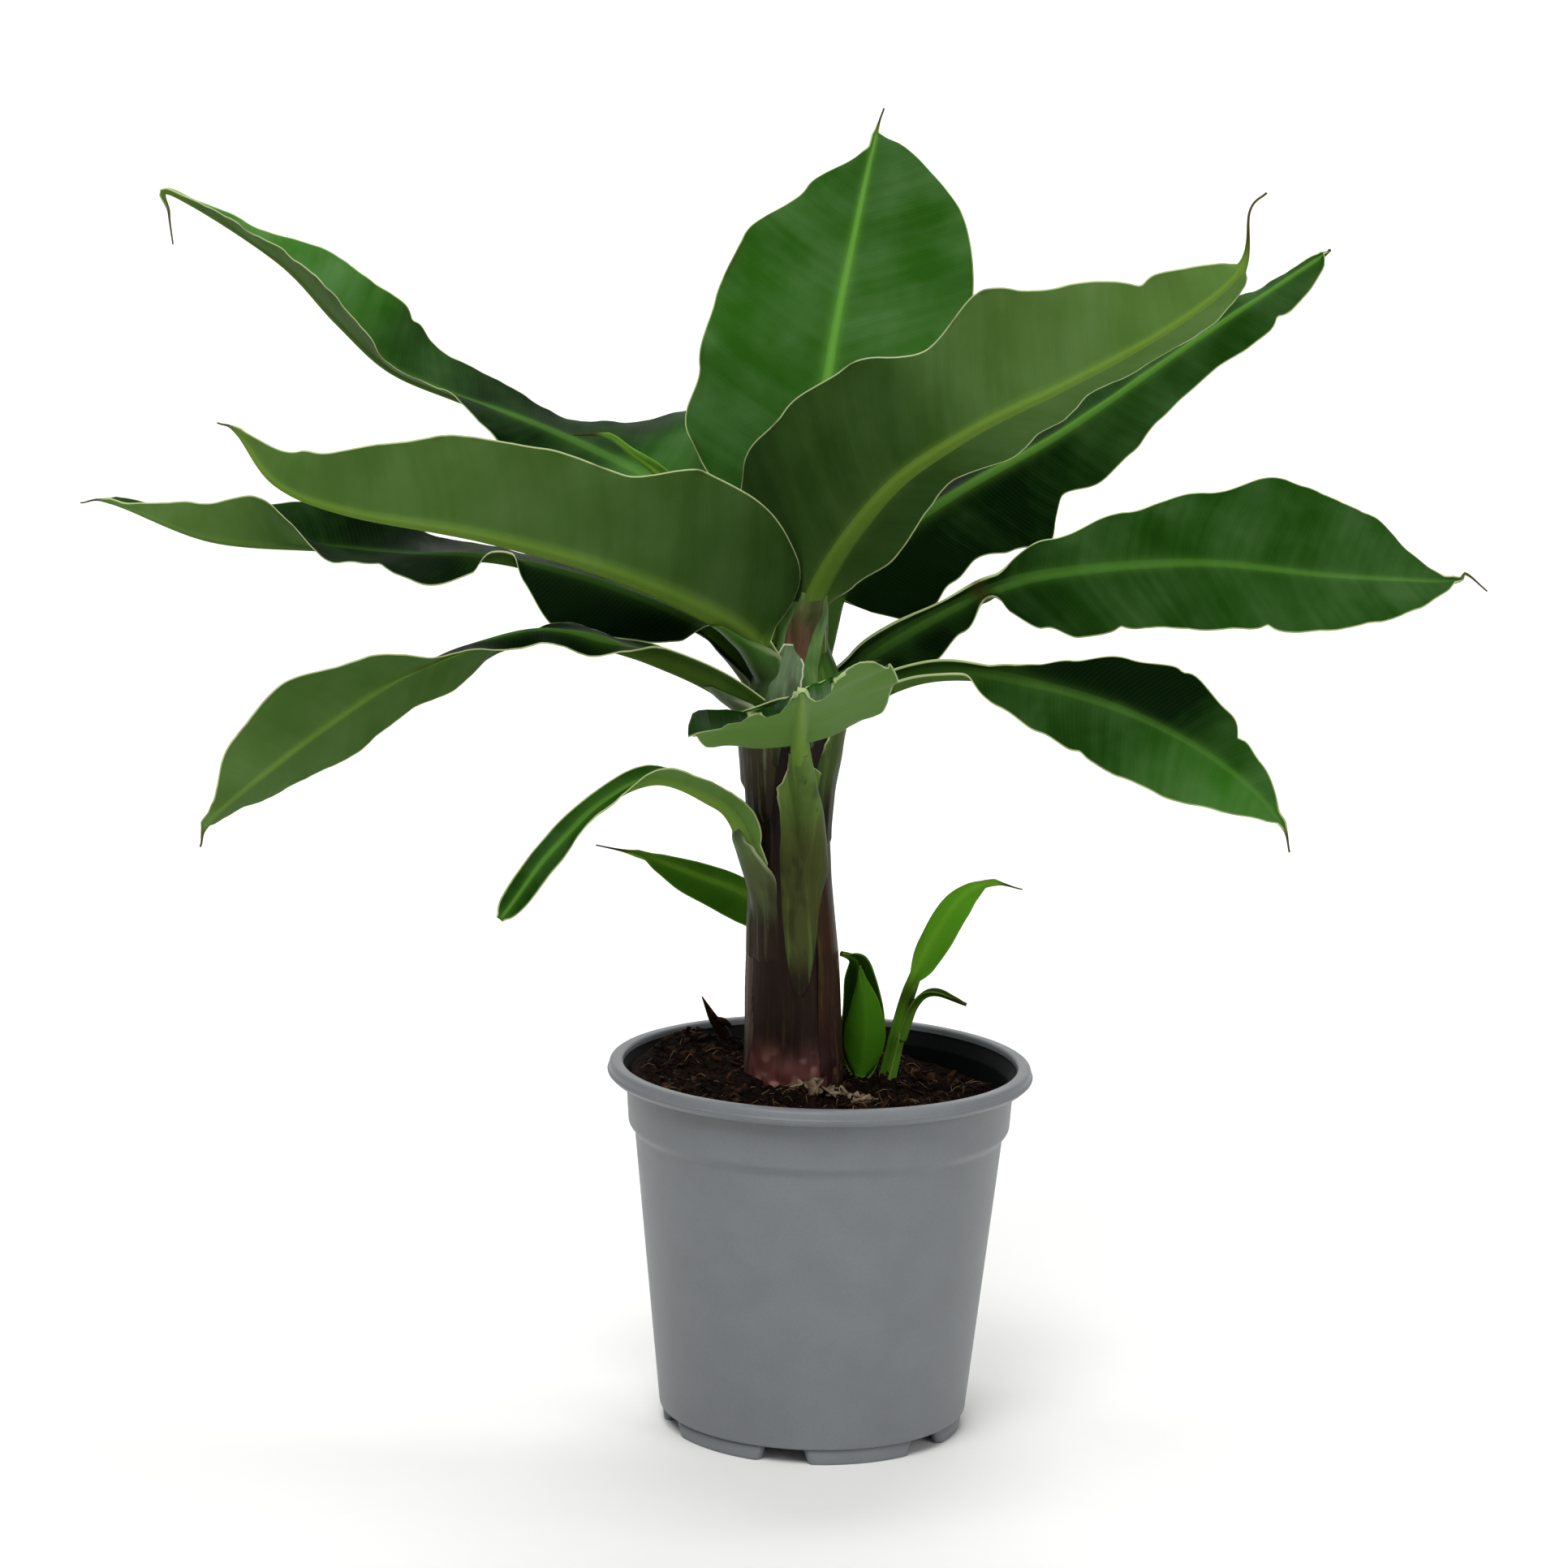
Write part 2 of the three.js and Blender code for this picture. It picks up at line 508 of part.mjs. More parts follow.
// The whole plant. Each leaf is cut clear of the stem and of the leaves placed before it.
const plant = new THREE.Group();
const placed = [makeStem(GAP)];
const leafMeshes = [];
for (const [name, leaf] of Object.entries(LEAVES)) {
  const material = name.startsWith("leaf") ? leafSkin : youngSkin;
  for (const [node, from, to] of stretchesOf(name, leaf)) {
    const cut = placed.reduce((solid, other) => solid.subtract(other), makeLeaf(leaf, 0, from, to));
    leafMeshes.push(meshOf(largestOf(cut), node, material));
  }
  placed.push(makeLeaf(leaf, GAP));
}
const peatSolid = placed.reduce((solid, other) => solid.subtract(other), makePeat());
plant.add(meshOf(makePot(), "pot", plastic));
plant.add(meshOf(largestOf(peatSolid), "peat", peat));
plant.add(meshOf(makeStem(0), "pseudostem", stemSkin));
plant.add(...leafMeshes);

export default plant;
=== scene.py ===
"""A young dwarf banana plant in a round grey nursery pot.

Run by Blender 4.5 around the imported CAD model. Every leaf is a finer copy of its CAD blade, worked out
by the same rule: two halves bend as arcs on either side of a midrib curve. The pot, the peat and the
pseudostem are finer surfaces on the CAD sizes. Sizes in the tables are in millimetres.
"""
import math

import bpy
import numpy as np
from mathutils import Matrix


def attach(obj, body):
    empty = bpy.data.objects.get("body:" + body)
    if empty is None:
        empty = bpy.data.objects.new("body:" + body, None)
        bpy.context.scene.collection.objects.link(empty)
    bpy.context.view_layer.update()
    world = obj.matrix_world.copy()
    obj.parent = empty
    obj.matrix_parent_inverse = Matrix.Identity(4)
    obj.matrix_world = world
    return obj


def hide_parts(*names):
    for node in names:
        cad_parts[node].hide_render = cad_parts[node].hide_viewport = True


bl_info = {
    "name": "Potted banana plant",
    "version": (1, 0, 0),
    "blender": (4, 5, 0),
    "location": "View3D > Sidebar > Banana plant",
    "description": "Builds a dwarf banana plant in its nursery pot around the packed model",
    "category": "Object",
}

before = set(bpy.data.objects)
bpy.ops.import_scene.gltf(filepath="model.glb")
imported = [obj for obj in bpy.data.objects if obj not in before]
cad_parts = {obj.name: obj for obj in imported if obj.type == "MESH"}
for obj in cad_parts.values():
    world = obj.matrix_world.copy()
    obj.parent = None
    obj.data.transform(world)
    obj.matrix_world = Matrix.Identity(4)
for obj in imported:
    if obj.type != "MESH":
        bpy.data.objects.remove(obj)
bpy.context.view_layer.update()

MM = 0.001

# First seeds of the random draws: the litter, the leaves in their order and the sheaths in theirs
LITTER_SEED = 7
LEAF_SEED = 100
SHEATH_SEED = 300

# Pot, as in the part's source: heights and radii of the lip, collar, step, body and feet
POT_HEIGHT = 183
LIP_RADIUS = 105
LIP_HEIGHT = 8
LIP_WIDTH = 7.5
COLLAR_RADIUS = 95.8
COLLAR_TAPER = 1.6
COLLAR_HEIGHT = 31
STEP_HEIGHT = 4
BODY_TOP_RADIUS = 91
BASE_RADIUS = 76.3
WALL = 2.2
FOOT_COUNT = 6
FOOT_HEIGHT = 8
FOOT_DEPTH = 7
FOOT_INSET = 1.2
FOOT_ANGLE = 46
FOOT_DRAFT_ANGLE = 5
FOOT_BEARING = 49
PAD_RADIUS = 14
STEP_TOP = POT_HEIGHT - COLLAR_HEIGHT
STEP_FOOT = STEP_TOP - STEP_HEIGHT
LIP_FOOT = POT_HEIGHT - LIP_HEIGHT
POT_FLOOR = FOOT_HEIGHT + WALL

# How far the feet and the pad run up into the wall and the floor
FOOT_SINK = 1.1
PAD_SINK = 1

# Peat, as in the source: it lies higher on the left, is heaped round the stem and clear of the pot
PEAT_LEVEL = 169
PEAT_SLOPE = 0.08
PEAT_MOUND = 5.5
MOUND_RADIUS = 45
CLEARANCE = 0.35

# Litter: the radius round the stem that it keeps off, and how far out crumbs, chips and fibres lie
STEM_FREE = 26
CRUMB_REACH = 88
CHIP_REACH = 86
FIBRE_REACH = 84

# Pseudostem, as in the source: height, centre and radius of its sections
STEM_SECTIONS = [
    [158, -13, 0, 24], [185, -13, 0, 23], [237, -15, 0, 21], [274, -17.2, 0, 19.4],
    [300, -18.3, 0, 19.2], [320, -18.7, 0, 20.8], [340, -18, 0, 23.5], [356, -17, 0, 25],
    [374, -16, 0, 21], [390, -15, 0, 13],
]
STEM_CAP = 3

# Radius with which a bearing on the stem becomes a length across its fibres
FIBRE_RADIUS = 22

# Rule of every leaf. The stalk's half-width at the tip as a share of that at its foot; the fold and the
# curl of its channel, in degrees; how far the side veins lean outwards from the midrib, and how much
# more near the margin; the distance between two pleats; the points that a midrib is worked out with
STALK_TAPER = 0.35
CHANNEL_FOLD = 12
CHANNEL_CURL = 75
VEIN_LEAN = 0.34
VEIN_SWEEP = 0.16
PLEAT_SPACING = 6.9
MIDRIB_POINTS = 400

# Points across half a blade, on a large leaf and on a young one, and the young one's share of the spacing
LEAF_COLUMNS = 25
YOUNG_COLUMNS = 13
YOUNG_SPACING = 0.55

# The least length that something is divided by
TINY = 1e-6

# Camera, worked out from the pot's ellipses in the photo: its place in metres, how far it looks down and
# how far it leans over, in degrees
CAMERA_PLACE = (-0.021, -1.882, 0.630)
CAMERA_DIP = 9.33
CAMERA_LEAN = 1.3

# Leaves, as in the source. route: the midrib from inside the stem to the tip. blade: the shares of the
# route between which the blade is. right and left: half-widths. fold: how far each half stands up from
# flat, in degrees. roll: the turn about the midrib. curl: the bend from midrib to margin. wave: the
# height, number and start of the ripples on the margin. split: where the source divides the leaf. A leaf
# without roll, curl or wave has those of PLAIN_LEAF, and one without bearing has that of its route.
PLAIN_LEAF = {"roll": [0], "curl": [0], "wave": [0, 1, 0]}
LEAVES = {
    "leaf_top": {"route": [[-8, 10, 378], [-8, 22, 425], [-8, 44, 474], [-2, 74, 529], [8, 104, 584],
        [18, 128, 634], [22, 132, 648]], "blade": [0.24, 0.95], "stalk": 6.5, "bearing": 90, "peak": 0.5,
        "blunt": 0.42, "right": [62, 64, 66, 66, 68, 69, 54], "left": [98, 86, 68, 62, 58, 38, 4],
        "fold_right": [12], "fold_left": [12], "curl": [-10], "wave": [2, 3, 0.1]},
    "leaf_upper_left": {"route": [[-22, 8, 378], [-40, 24, 424], [-83, 50, 459], [-121, 80, 476],
        [-155, 100, 488], [-193, 112, 499], [-227, 118, 512], [-254, 122, 535], [-286, 132, 565],
        [-341, 140, 597], [-343, 142, 587], [-341, 142, 571]], "blade": [0.14, 0.94], "stalk": 6,
        "peak": 0.45, "blunt": 0.4, "right": [60, 62, 70, 24, 33, 37, 31, 14, 5],
        "left": [22, 24, 24, 24, 36, 24, 8], "fold_right": [45, 35, 10, 15, 45, 40, 30],
        "fold_left": [-20, -30, -40, 10, 35, 35, 40], "wave": [1.5, 4, 0.3]},
    "spear_leaf": {"route": [[-20, -2, 380], [-43, -6, 427], [-79, -16, 467], [-97, -18, 482],
        [-109, -18, 490], [-125, -18, 490]], "blade": [0.3, 0.9], "stalk": 4.5, "peak": 0.4, "blunt": 0.4,
        "right": [7, 7, 6, 4], "left": [7, 7, 6, 4], "fold_right": [55], "fold_left": [55]},
    "leaf_front_right": {"route": [[-10, -8, 378], [-7, -22, 418], [24, -70, 471], [62, -104, 503],
        [103, -130, 527], [144, -152, 553], [172, -168, 579], [175, -172, 605], [182, -172, 613]],
        "blade": [0.07, 0.9], "stalk": 7, "peak": 0.42, "blunt": 0.35,
        "right": [84, 80, 67, 57, 43, 58, 47, 38, 30], "left": [14, 19, 26, 24, 20, 31, 27, 15, 23, 26, 24],
        "fold_right": [10], "fold_left": [20, 50, 50], "roll": [75, 70, 60], "curl": [-8],
        "wave": [1.5, 4, 0]},
    "leaf_upper_right": {"route": [[-9, 6, 378], [6, 34, 421], [59, 76, 457], [117, 112, 488],
        [189, 146, 536], [252, 170, 577], [256, 171, 581]], "blade": [0.1, 0.98], "stalk": 6.5,
        "peak": 0.42, "blunt": 0.35,
        "right": [60, 57, 51, 42, 36, 41, 46, 28, 33, 30, 25, 23, 22, 25, 27, 24, 18],
        "left": [36, 40, 40, 34, 22, 12], "fold_right": [-60, -65, -70, -60, -50], "fold_left": [5],
        "wave": [1.5, 5, 0.2]},
    "leaf_front_left": {"route": [[-27, -10, 376], [-46, -26, 401], [-100, -62, 429], [-160, -92, 448],
        [-221, -114, 460], [-253, -122, 473], [-270, -126, 496], [-279, -127, 500]], "blade": [0.06, 0.97],
        "stalk": 7, "peak": 0.4, "blunt": 0.28, "right": [34, 44, 46, 46, 36, 20],
        "left": [60, 65, 62, 46, 48, 49, 41, 30, 10], "fold_right": [20], "fold_left": [80, 75, 75],
        "curl": [-6], "wave": [1.5, 4, 0.4]},
    "leaf_left": {"route": [[-28, -2, 364], [-57, 4, 395], [-111, 18, 416], [-168, 34, 426],
        [-211, 46, 425], [-252, 54, 426], [-310, 62, 428], [-360, 66, 445], [-376, 68, 444]],
        "blade": [0.08, 0.96], "stalk": 6, "peak": 0.45, "blunt": 0.35, "right": [30, 40, 30, 36, 36, 20],
        "left": [10, 28, 34, 5, 26, 36, 32, 25, 6], "fold_right": [10, 0, 0, 5, 42, 30, 20],
        "fold_left": [-60, -60, -50, -5, 75, 75], "wave": [1.5, 4, 0.1]},
    "leaf_lower_left": {"route": [[-26, -10, 352], [-55, -30, 375], [-90, -54, 392], [-130, -82, 405],
        [-162, -104, 401], [-193, -120, 389], [-218, -134, 373], [-248, -146, 350], [-278, -152, 324],
        [-283, -152, 311]], "blade": [0.2, 0.97], "stalk": 6.5, "peak": 0.5, "blunt": 0.35,
        "right": [20, 20, 20, 25, 26, 27, 31, 35, 26], "left": [12, 14, 16, 14, 18, 24, 38, 32, 7],
        "fold_right": [15, 10, 0, 0, 15, 30, 40], "fold_left": [-60, -60, -50, -50, -10, 0, 0],
        "roll": [0, 0, -30, -60, -75, -80, -80], "wave": [1.5, 3, 0.6]},
    "leaf_right": {"route": [[-9, 2, 356], [23, 20, 385], [77, 46, 412], [120, 66, 421], [188, 92, 424],
        [257, 112, 417], [320, 126, 414], [328, 127, 418], [340, 128, 409]], "blade": [0.06, 0.94],
        "stalk": 6.5, "peak": 0.45, "blunt": 0.35,
        "right": [16, 21, 26, 17, 7, 29, 36, 35, 35, 37, 38, 39, 40, 41, 41, 34, 20],
        "left": [16, 9, 5, 19, 29, 42, 62, 54, 8], "fold_right": [-10, -10, -10, 10], "fold_left": [10],
        "roll": [-45, -50, -50], "wave": [1.5, 6, 0.2]},
    "leaf_lower_right": {"route": [[-7, -4, 348], [26, -16, 372], [63, -38, 383], [121, -70, 376],
        [162, -94, 362], [192, -108, 343], [208, -114, 326], [212, -114, 313]], "blade": [0.22, 0.95],
        "stalk": 6, "peak": 0.55, "blunt": 0.4, "right": [5, 9, 20, 26, 30, 32, 33, 27, 14],
        "left": [5, 6, 9, 17, 25, 31, 25, 17, 7], "fold_right": [0], "fold_left": [10], "roll": [-50],
        "wave": [1, 4, 0.5]},
    "leaf_front": {"route": [[-6, -12, 282], [-9, -25, 316], [-14, -44, 344], [-14, -92, 364],
        [-14, -144, 381], [-14, -196, 394]], "blade": [0.34, 1], "stalk": 6.5, "bearing": -92, "peak": 0.45,
        "blunt": 0.4, "right": [50, 52, 50, 34], "left": [44, 48, 46, 34], "fold_right": [-10, -10, 0],
        "fold_left": [15, 25, 32], "wave": [2.5, 4, 0]},
    "leaf_small_left": {"route": [[-24, -6, 252], [-42, -22, 304], [-58, -34, 320], [-82, -50, 330],
        [-107, -60, 319], [-131, -66, 296], [-154, -68, 264]], "blade": [0.19, 1], "stalk": 6, "peak": 0.5,
        "blunt": 0.4, "split": 0.56, "right": [12, 12, 9, 7, 9, 13], "left": [20, 16, 12, 7, 9, 13],
        "fold_right": [30], "fold_left": [30, 30, 0], "roll": [0, 0, 0, 30, 60, 60], "wave": [1, 3, 0]},
    "leaf_back": {"route": [[-14, 8, 374], [-10, 44, 420], [0, 100, 446], [10, 165, 446], [16, 225, 416],
        [17, 235, 408]], "blade": [0.14, 0.96], "stalk": 6.5, "bearing": 88, "peak": 0.45, "blunt": 0.4,
        "right": [40, 50, 48, 30], "left": [40, 50, 48, 30], "fold_right": [18], "fold_left": [18],
        "curl": [-20], "wave": [2, 4, 0.3]},
    "shoot_rear": {"route": [[-3, 36, 158], [-11, 46, 225], [-32, 58, 250], [-64, 66, 262], [-95, 72, 271],
        [-116, 74, 275]], "blade": [0.4, 0.89], "stalk": 5, "peak": 0.4, "blunt": 0.5,
        "right": [8, 8, 8, 6], "left": [12, 15, 14, 8], "fold_right": [10], "fold_left": [-10],
        "roll": [45], "wave": [1, 2, 0]},
    "shoot_near": {"route": [[18, 16, 158], [20, 15, 180], [21, 14, 202], [19, 12, 221], [17, 6, 233],
        [9, 2, 237]], "blade": [0.12, 1], "stalk": 4, "bearing": 90, "peak": 0.4, "blunt": 0.5,
        "right": [11, 11, 10, 9], "left": [9, 11, 10, 7], "fold_right": [8], "fold_left": [8]},
    "shoot_far": {"route": [[32, 22, 158], [39, 22, 192], [45, 22, 216], [55, 24, 240], [69, 28, 261],
        [84, 30, 268], [99, 32, 265]], "blade": [0.4, 0.9], "stalk": 4.5, "peak": 0.5, "blunt": 0.5,
        "right": [10, 10, 10, 6], "left": [6, 7, 7, 4], "fold_right": [-10], "fold_left": [20],
        "roll": [-40], "wave": [0.6, 2, 0]},
    "shoot_far_leaf": {"route": [[40, 20, 190], [47, 16, 209], [56, 14, 215], [72, 12, 210]],
        "blade": [0.15, 1], "stalk": 2.5, "peak": 0.5, "blunt": 0.5, "right": [4, 5, 3], "left": [4, 5, 3],
        "fold_right": [20], "fold_left": [20]},
}

# The inner leaf wrapped round the near shoot, which the source leaves to this script
SHOOT_WRAP = {"route": [[20, 11, 172], [21.5, 7, 188], [21.5, 5, 208], [18.5, 6, 230]], "blade": [0, 1],
              "stalk": 1.2, "bearing": 90, "peak": 0.4, "blunt": 0.8, "right": [11.5, 12, 10, 7],
              "left": [11.5, 12, 9.5, 6], "fold_right": [-10], "fold_left": [-10], "curl": [-30],
              "wave": [0.3, 2, 0]}

# Looks of each leaf: tones of its upper side and of its underside from its base to its tip, from deep 0
# to fresh 1; ruffle of the margin; pleat: depth of the folds along the side veins; glow: strength of the
# pale midrib, and stalk: of the pale stalk; sides: tone added on the left and on the right half; brown
# spots across the stalk and nicks in the margin. The tones are partly each leaf's own green and partly
# painted shade: they are set low, down to below 0, at the bases of leaves that lie in the shadow of the
# crown, as on leaf_upper_right, leaf_left, leaf_lower_left and leaf_right. The sides are painted shade
# and painted light: one half of leaf_lower_right is darker and the other lighter. A spot is its place along
# the leaf, its reach and its strength; a nick is its half, its place along the blade, its depth and its
# reach. A leaf has the looks of PLAIN_LOOK where it has none of its own.
PLAIN_LOOK = {"ruffle": 0.1, "pleat": 1, "glow": 1, "stalk": 0.3, "sides": [0, 0], "brown": [], "nicks": []}
LOOKS = {
    "leaf_top": {"upper": [0.35, 0.58, 0.46], "under": 0.5, "ruffle": 0.45, "pleat": 0.35, "glow": 1.5,
        "nicks": [[1, 0.3, 3, 9]]},
    "leaf_upper_left": {"upper": [0.6, 0.6, 0.1, 0.05, 0.2, 0.75, 0.9, 0.75],
        "under": [0.5, 0.15, 0.35, 0.6, 0.5], "ruffle": 0.8, "pleat": 0.3, "glow": 0.5,
        "nicks": [[1, 0.62, 3, 5]]},
    "spear_leaf": {"upper": 0.6, "under": 0.6},
    "leaf_front_right": {"upper": 0.3, "under": [0.3, 0.25, 0.7, 0.95], "ruffle": 0.6, "pleat": 0.25,
        "nicks": [[1, 0.86, 4, 6]]},
    # painted shade: the base of this leaf is set below 0, as dark as the shadow under the crown
    "leaf_upper_right": {"upper": [-0.12, 0.03, 0.25, 0.3], "under": 0.3, "ruffle": 0.9, "pleat": 0.4,
        "glow": 0.8, "stalk": 0.05, "nicks": [[1, 0.88, 4, 5]]},
    "leaf_front_left": {"upper": 0.4, "under": [0.2, 0.5, 0.65, 0.65], "ruffle": 0.5, "pleat": 0.25,
        "nicks": [[-1, 0.005, 14, 4.5]]},
    # painted shade: both sides are set low, down to below 0, at the base, which lies in shadow
    "leaf_left": {"upper": [-0.1, 0, 0.2], "under": [-0.2, 0.1, 0.95], "ruffle": 0.6, "pleat": 0.2,
        "glow": 0.2, "stalk": 0.08, "nicks": [[-1, 0.55, 5, 4]]},
    # painted shade: both sides are set low, down to below 0, at the base, which lies in shadow
    "leaf_lower_left": {"upper": [-0.12, -0.05, 0.2], "under": [0.1, 0.22, 0.5, 0.55, 0.65], "ruffle": 0.5,
        "pleat": 0.3, "glow": 0.6, "stalk": 0.1},
    # painted shade: the base of the upper side is set below 0, where it lies in shadow
    "leaf_right": {"upper": [-0.05, 0.1, 0.3, 0.35, 0.35], "under": 0.3, "ruffle": 0.8, "pleat": 0.35,
        "glow": 0.5, "stalk": 0, "brown": [[0.275, 4, 0.6]], "nicks": [[1, 0.45, 3, 4], [1, 0.7, 3, 4]]},
    # painted shade and painted light: the sides darken the left half and lighten the right one
    "leaf_lower_right": {"upper": [0.1, 0.15, 0.75], "under": 0.5, "ruffle": 0.6, "pleat": 0.15,
        "glow": 0.35, "stalk": 0.1, "sides": [-0.25, 0.1], "nicks": [[-1, 0.8, 4, 3], [-1, 0.62, 2, 3],
        [1, 0.5, 2, 4]]},
    "leaf_front": {"upper": 0.5, "under": 1.2, "ruffle": 0.5, "pleat": 0.5, "glow": 0.9,
        "nicks": [[1, 0.92, 57, 30]]},
    "leaf_small_left": {"upper": 0.3, "under": 1, "ruffle": 0.5, "pleat": 0.4},
    "leaf_back": {"upper": 0.5, "under": 0.5, "ruffle": 0.8, "pleat": 0.4},
    "shoot_rear": {"upper": 0.35, "under": 0.35, "ruffle": 0.3, "pleat": 0.2, "glow": 0.5},
    "shoot_near": {"upper": 0.1, "under": 0.1, "pleat": 0.1, "glow": 0.3},
    "shoot_near_wrap": {"upper": 0.65, "under": 0.65, "pleat": 0.1, "glow": 0.1},
    "shoot_far": {"upper": 0.95, "under": [0.7, 0.9], "pleat": 0.1, "glow": 0.4, "brown": [[0.38, 7, 0.6],
        [0.2, 5, 0.3]]},
    "shoot_far_leaf": {"upper": 0.05, "under": 0.05, "pleat": 0.1, "glow": 0.3, "brown": [[1, 12, 0.8]]},
}


def linear(hex_colour):
    """The linear colour, with alpha, of an sRGB hex value."""
    srgb = np.array([int(hex_colour[i:i + 2], 16) for i in (0, 2, 4)]) / 255
    colour = np.where(srgb <= 0.04045, srgb / 12.92, ((srgb + 0.055) / 1.055) ** 2.4)
    return (*[float(channel) for channel in colour], 1.0)


def shaded(colour, factor):
    """A linear colour made darker or lighter by a factor."""
    return (*[min(channel * factor, 1) for channel in colour[:3]], 1)


def ease(low, high, value):
    """Rises smoothly from 0 at low to 1 at high."""
    share = np.clip((value - low) / (high - low), 0, 1)
    return share * share * (3 - 2 * share)


def lerp(a, b, share):
    """The value a given share of the way from a to b."""
    return a + (b - a) * share


def along(keys, t):
    """The value at share t through evenly spaced keys, eased between them."""
    keys = np.asarray(keys, float)
    if len(keys) == 1:
        return np.full(np.shape(t), keys[0])
    place = np.clip(t, 0, 1) * (len(keys) - 1)
    step = np.minimum(place.astype(int), len(keys) - 2)
    return keys[step] + (keys[step + 1] - keys[step]) * ease(0, 1, place - step)


def between(where, places, rows):
    """Rows of values read off at other places, straight between the given ones."""
    return np.stack([np.interp(where, places, column) for column in rows.T], 1)


def unit(vectors):
    """Vectors brought to length 1."""
    return vectors / np.linalg.norm(vectors, axis=-1, keepdims=True)


def smooth_curve(route, count):
    """Points at even lengths on the uniform Catmull-Rom curve through a route, and its length."""
    points = np.asarray(route, float)
    padded = np.vstack([2 * points[0] - points[1], points, 2 * points[-1] - points[-2]])
    place = np.linspace(0, len(points) - 1, 3000)
    step = np.minimum(place.astype(int), len(points) - 2)
    f = (place - step)[:, None]
    p0, p1, p2, p3 = (padded[step + k] for k in range(4))
    curve = 0.5 * (2 * p1 + (p2 - p0) * f + (2 * p0 - 5 * p1 + 4 * p2 - p3) * f ** 2
                   + (3 * p1 - p0 - 3 * p2 + p3) * f ** 3)
    run = np.r_[0, np.cumsum(np.linalg.norm(np.diff(curve, axis=0), axis=1))]
    return between(np.linspace(0, run[-1], count), run, curve), run[-1]


def lumps(x, y, cell, seed):
    """Soft random relief from -1 to 1 over a plane: random heights on a grid of cells, eased between."""
    heights = np.random.default_rng(seed).uniform(-1, 1, (97, 97))
    px, py = np.mod(x / cell, 96), np.mod(y / cell, 96)
    ix, iy = px.astype(int), py.astype(int)
    fx, fy = ease(0, 1, px - ix), ease(0, 1, py - iy)
    low = lerp(heights[ix, iy], heights[ix + 1, iy], fx)
    high = lerp(heights[ix, iy + 1], heights[ix + 1, iy + 1], fx)
    return lerp(low, high, fy)


def round_angles(sides):
    """Even angles round a circle."""
    return np.arange(sides) * 2 * np.pi / sides


def turned(radius, angle, z, x0=0, y0=0):
    """Points at a radius and an angle round an upright line, at a height."""
    return np.stack([x0 + radius * np.cos(angle), y0 + radius * np.sin(angle), z + 0 * angle], -1)


def grid_quads(rows, columns, start=0, wrap=False):
    """Corner numbers of the quads of a grid of points; wrap joins the last column to the first."""
    across = columns if wrap else columns - 1
    row, column = np.meshgrid(np.arange(rows - 1), np.arange(across), indexing="ij")
    beside = (column + 1) % columns
    corners = [row * columns + column, row * columns + beside, (row + 1) * columns + beside,
               (row + 1) * columns + column]
    return np.stack(corners, -1).reshape(-1, 4) + start


def capped_rings(rows, sides):
    """Faces of stacked rings of points, closed by a fan of triangles to a point at either end, which
    come after the rings."""
    total = rows * sides
    last = total - sides
    faces = grid_quads(rows, sides, wrap=True).tolist()
    faces += [[total, (k + 1) % sides, k] for k in range(sides)]
    faces += [[total + 1, last + k, last + (k + 1) % sides] for k in range(sides)]
    return faces


def closed_skin(above, below):
    """Two grids of points joined along all four edges, facing outwards: the points, the faces and their
    material slots, 0 above and 1 below."""
    rows, columns = above.shape[:2]
    top = grid_quads(rows, columns)
    bottom = grid_quads(rows, columns, rows * columns)[:, ::-1]
    a = np.arange(rows * columns).reshape(rows, columns)
    b = a + rows * columns
    rims = [
        [b[:-1, 0], a[:-1, 0], a[1:, 0], b[1:, 0]], [a[:-1, -1], b[:-1, -1], b[1:, -1], a[1:, -1]],
        [b[0, :-1], b[0, 1:], a[0, 1:], a[0, :-1]], [a[-1, :-1], a[-1, 1:], b[-1, 1:], b[-1, :-1]],
    ]
    rims = [np.stack(rim, -1) for rim in rims]
    slots = np.r_[np.zeros(len(top)), np.ones(len(bottom)), np.zeros(sum(map(len, rims)))]
    points = np.vstack([above.reshape(-1, 3), below.reshape(-1, 3)])
    return points, np.vstack([top, bottom, *rims]), slots


def tube(route, radii, sides, count):
    """A closed round tube along a smooth route: rings of points square to the route, with the given radii
    spread along it, and a point at each end. Returns its points and faces."""
    centre, _ = smooth_curve(route, count)
    tangent = unit(np.gradient(centre, axis=0))
    lead = np.array([0.31, 0.17, 0.94]) if abs(tangent[0, 2]) < 0.8 else np.array([0.96, 0.25, 0.1])
    one = unit(np.cross(tangent, lead))
    two = np.cross(tangent, one)
    angle = round_angles(sides)
    radius = np.interp(np.linspace(0, 1, count), np.linspace(0, 1, len(radii)), radii)[:, None, None]
    ring = one[:, None] * np.cos(angle)[:, None] + two[:, None] * np.sin(angle)[:, None]
    points = (centre[:, None] + ring * radius).reshape(-1, 3)
    return np.vstack([points, centre[0], centre[-1]]), capped_rings(count, sides)


def join(parts):
    """Several lots of points and faces as one."""
    points, faces, start = [], [], 0
    for some, corners in parts:
        points.append(some)
        faces += [[corner + start for corner in face] for face in corners]
        start += len(some)
    return np.vstack(points), faces


def smooth_object(name, points, faces, materials):
    """A smooth-shaded mesh in the scene, from points in metres."""
    mesh = bpy.data.meshes.new(name)
    mesh.from_pydata(points.tolist(), [], faces if isinstance(faces, list) else faces.tolist())
    mesh.polygons.foreach_set("use_smooth", np.ones(len(mesh.polygons), bool))
    for material in materials:
        mesh.materials.append(material)
    obj = bpy.data.objects.new(name, mesh)
    bpy.context.scene.collection.objects.link(obj)
    return obj


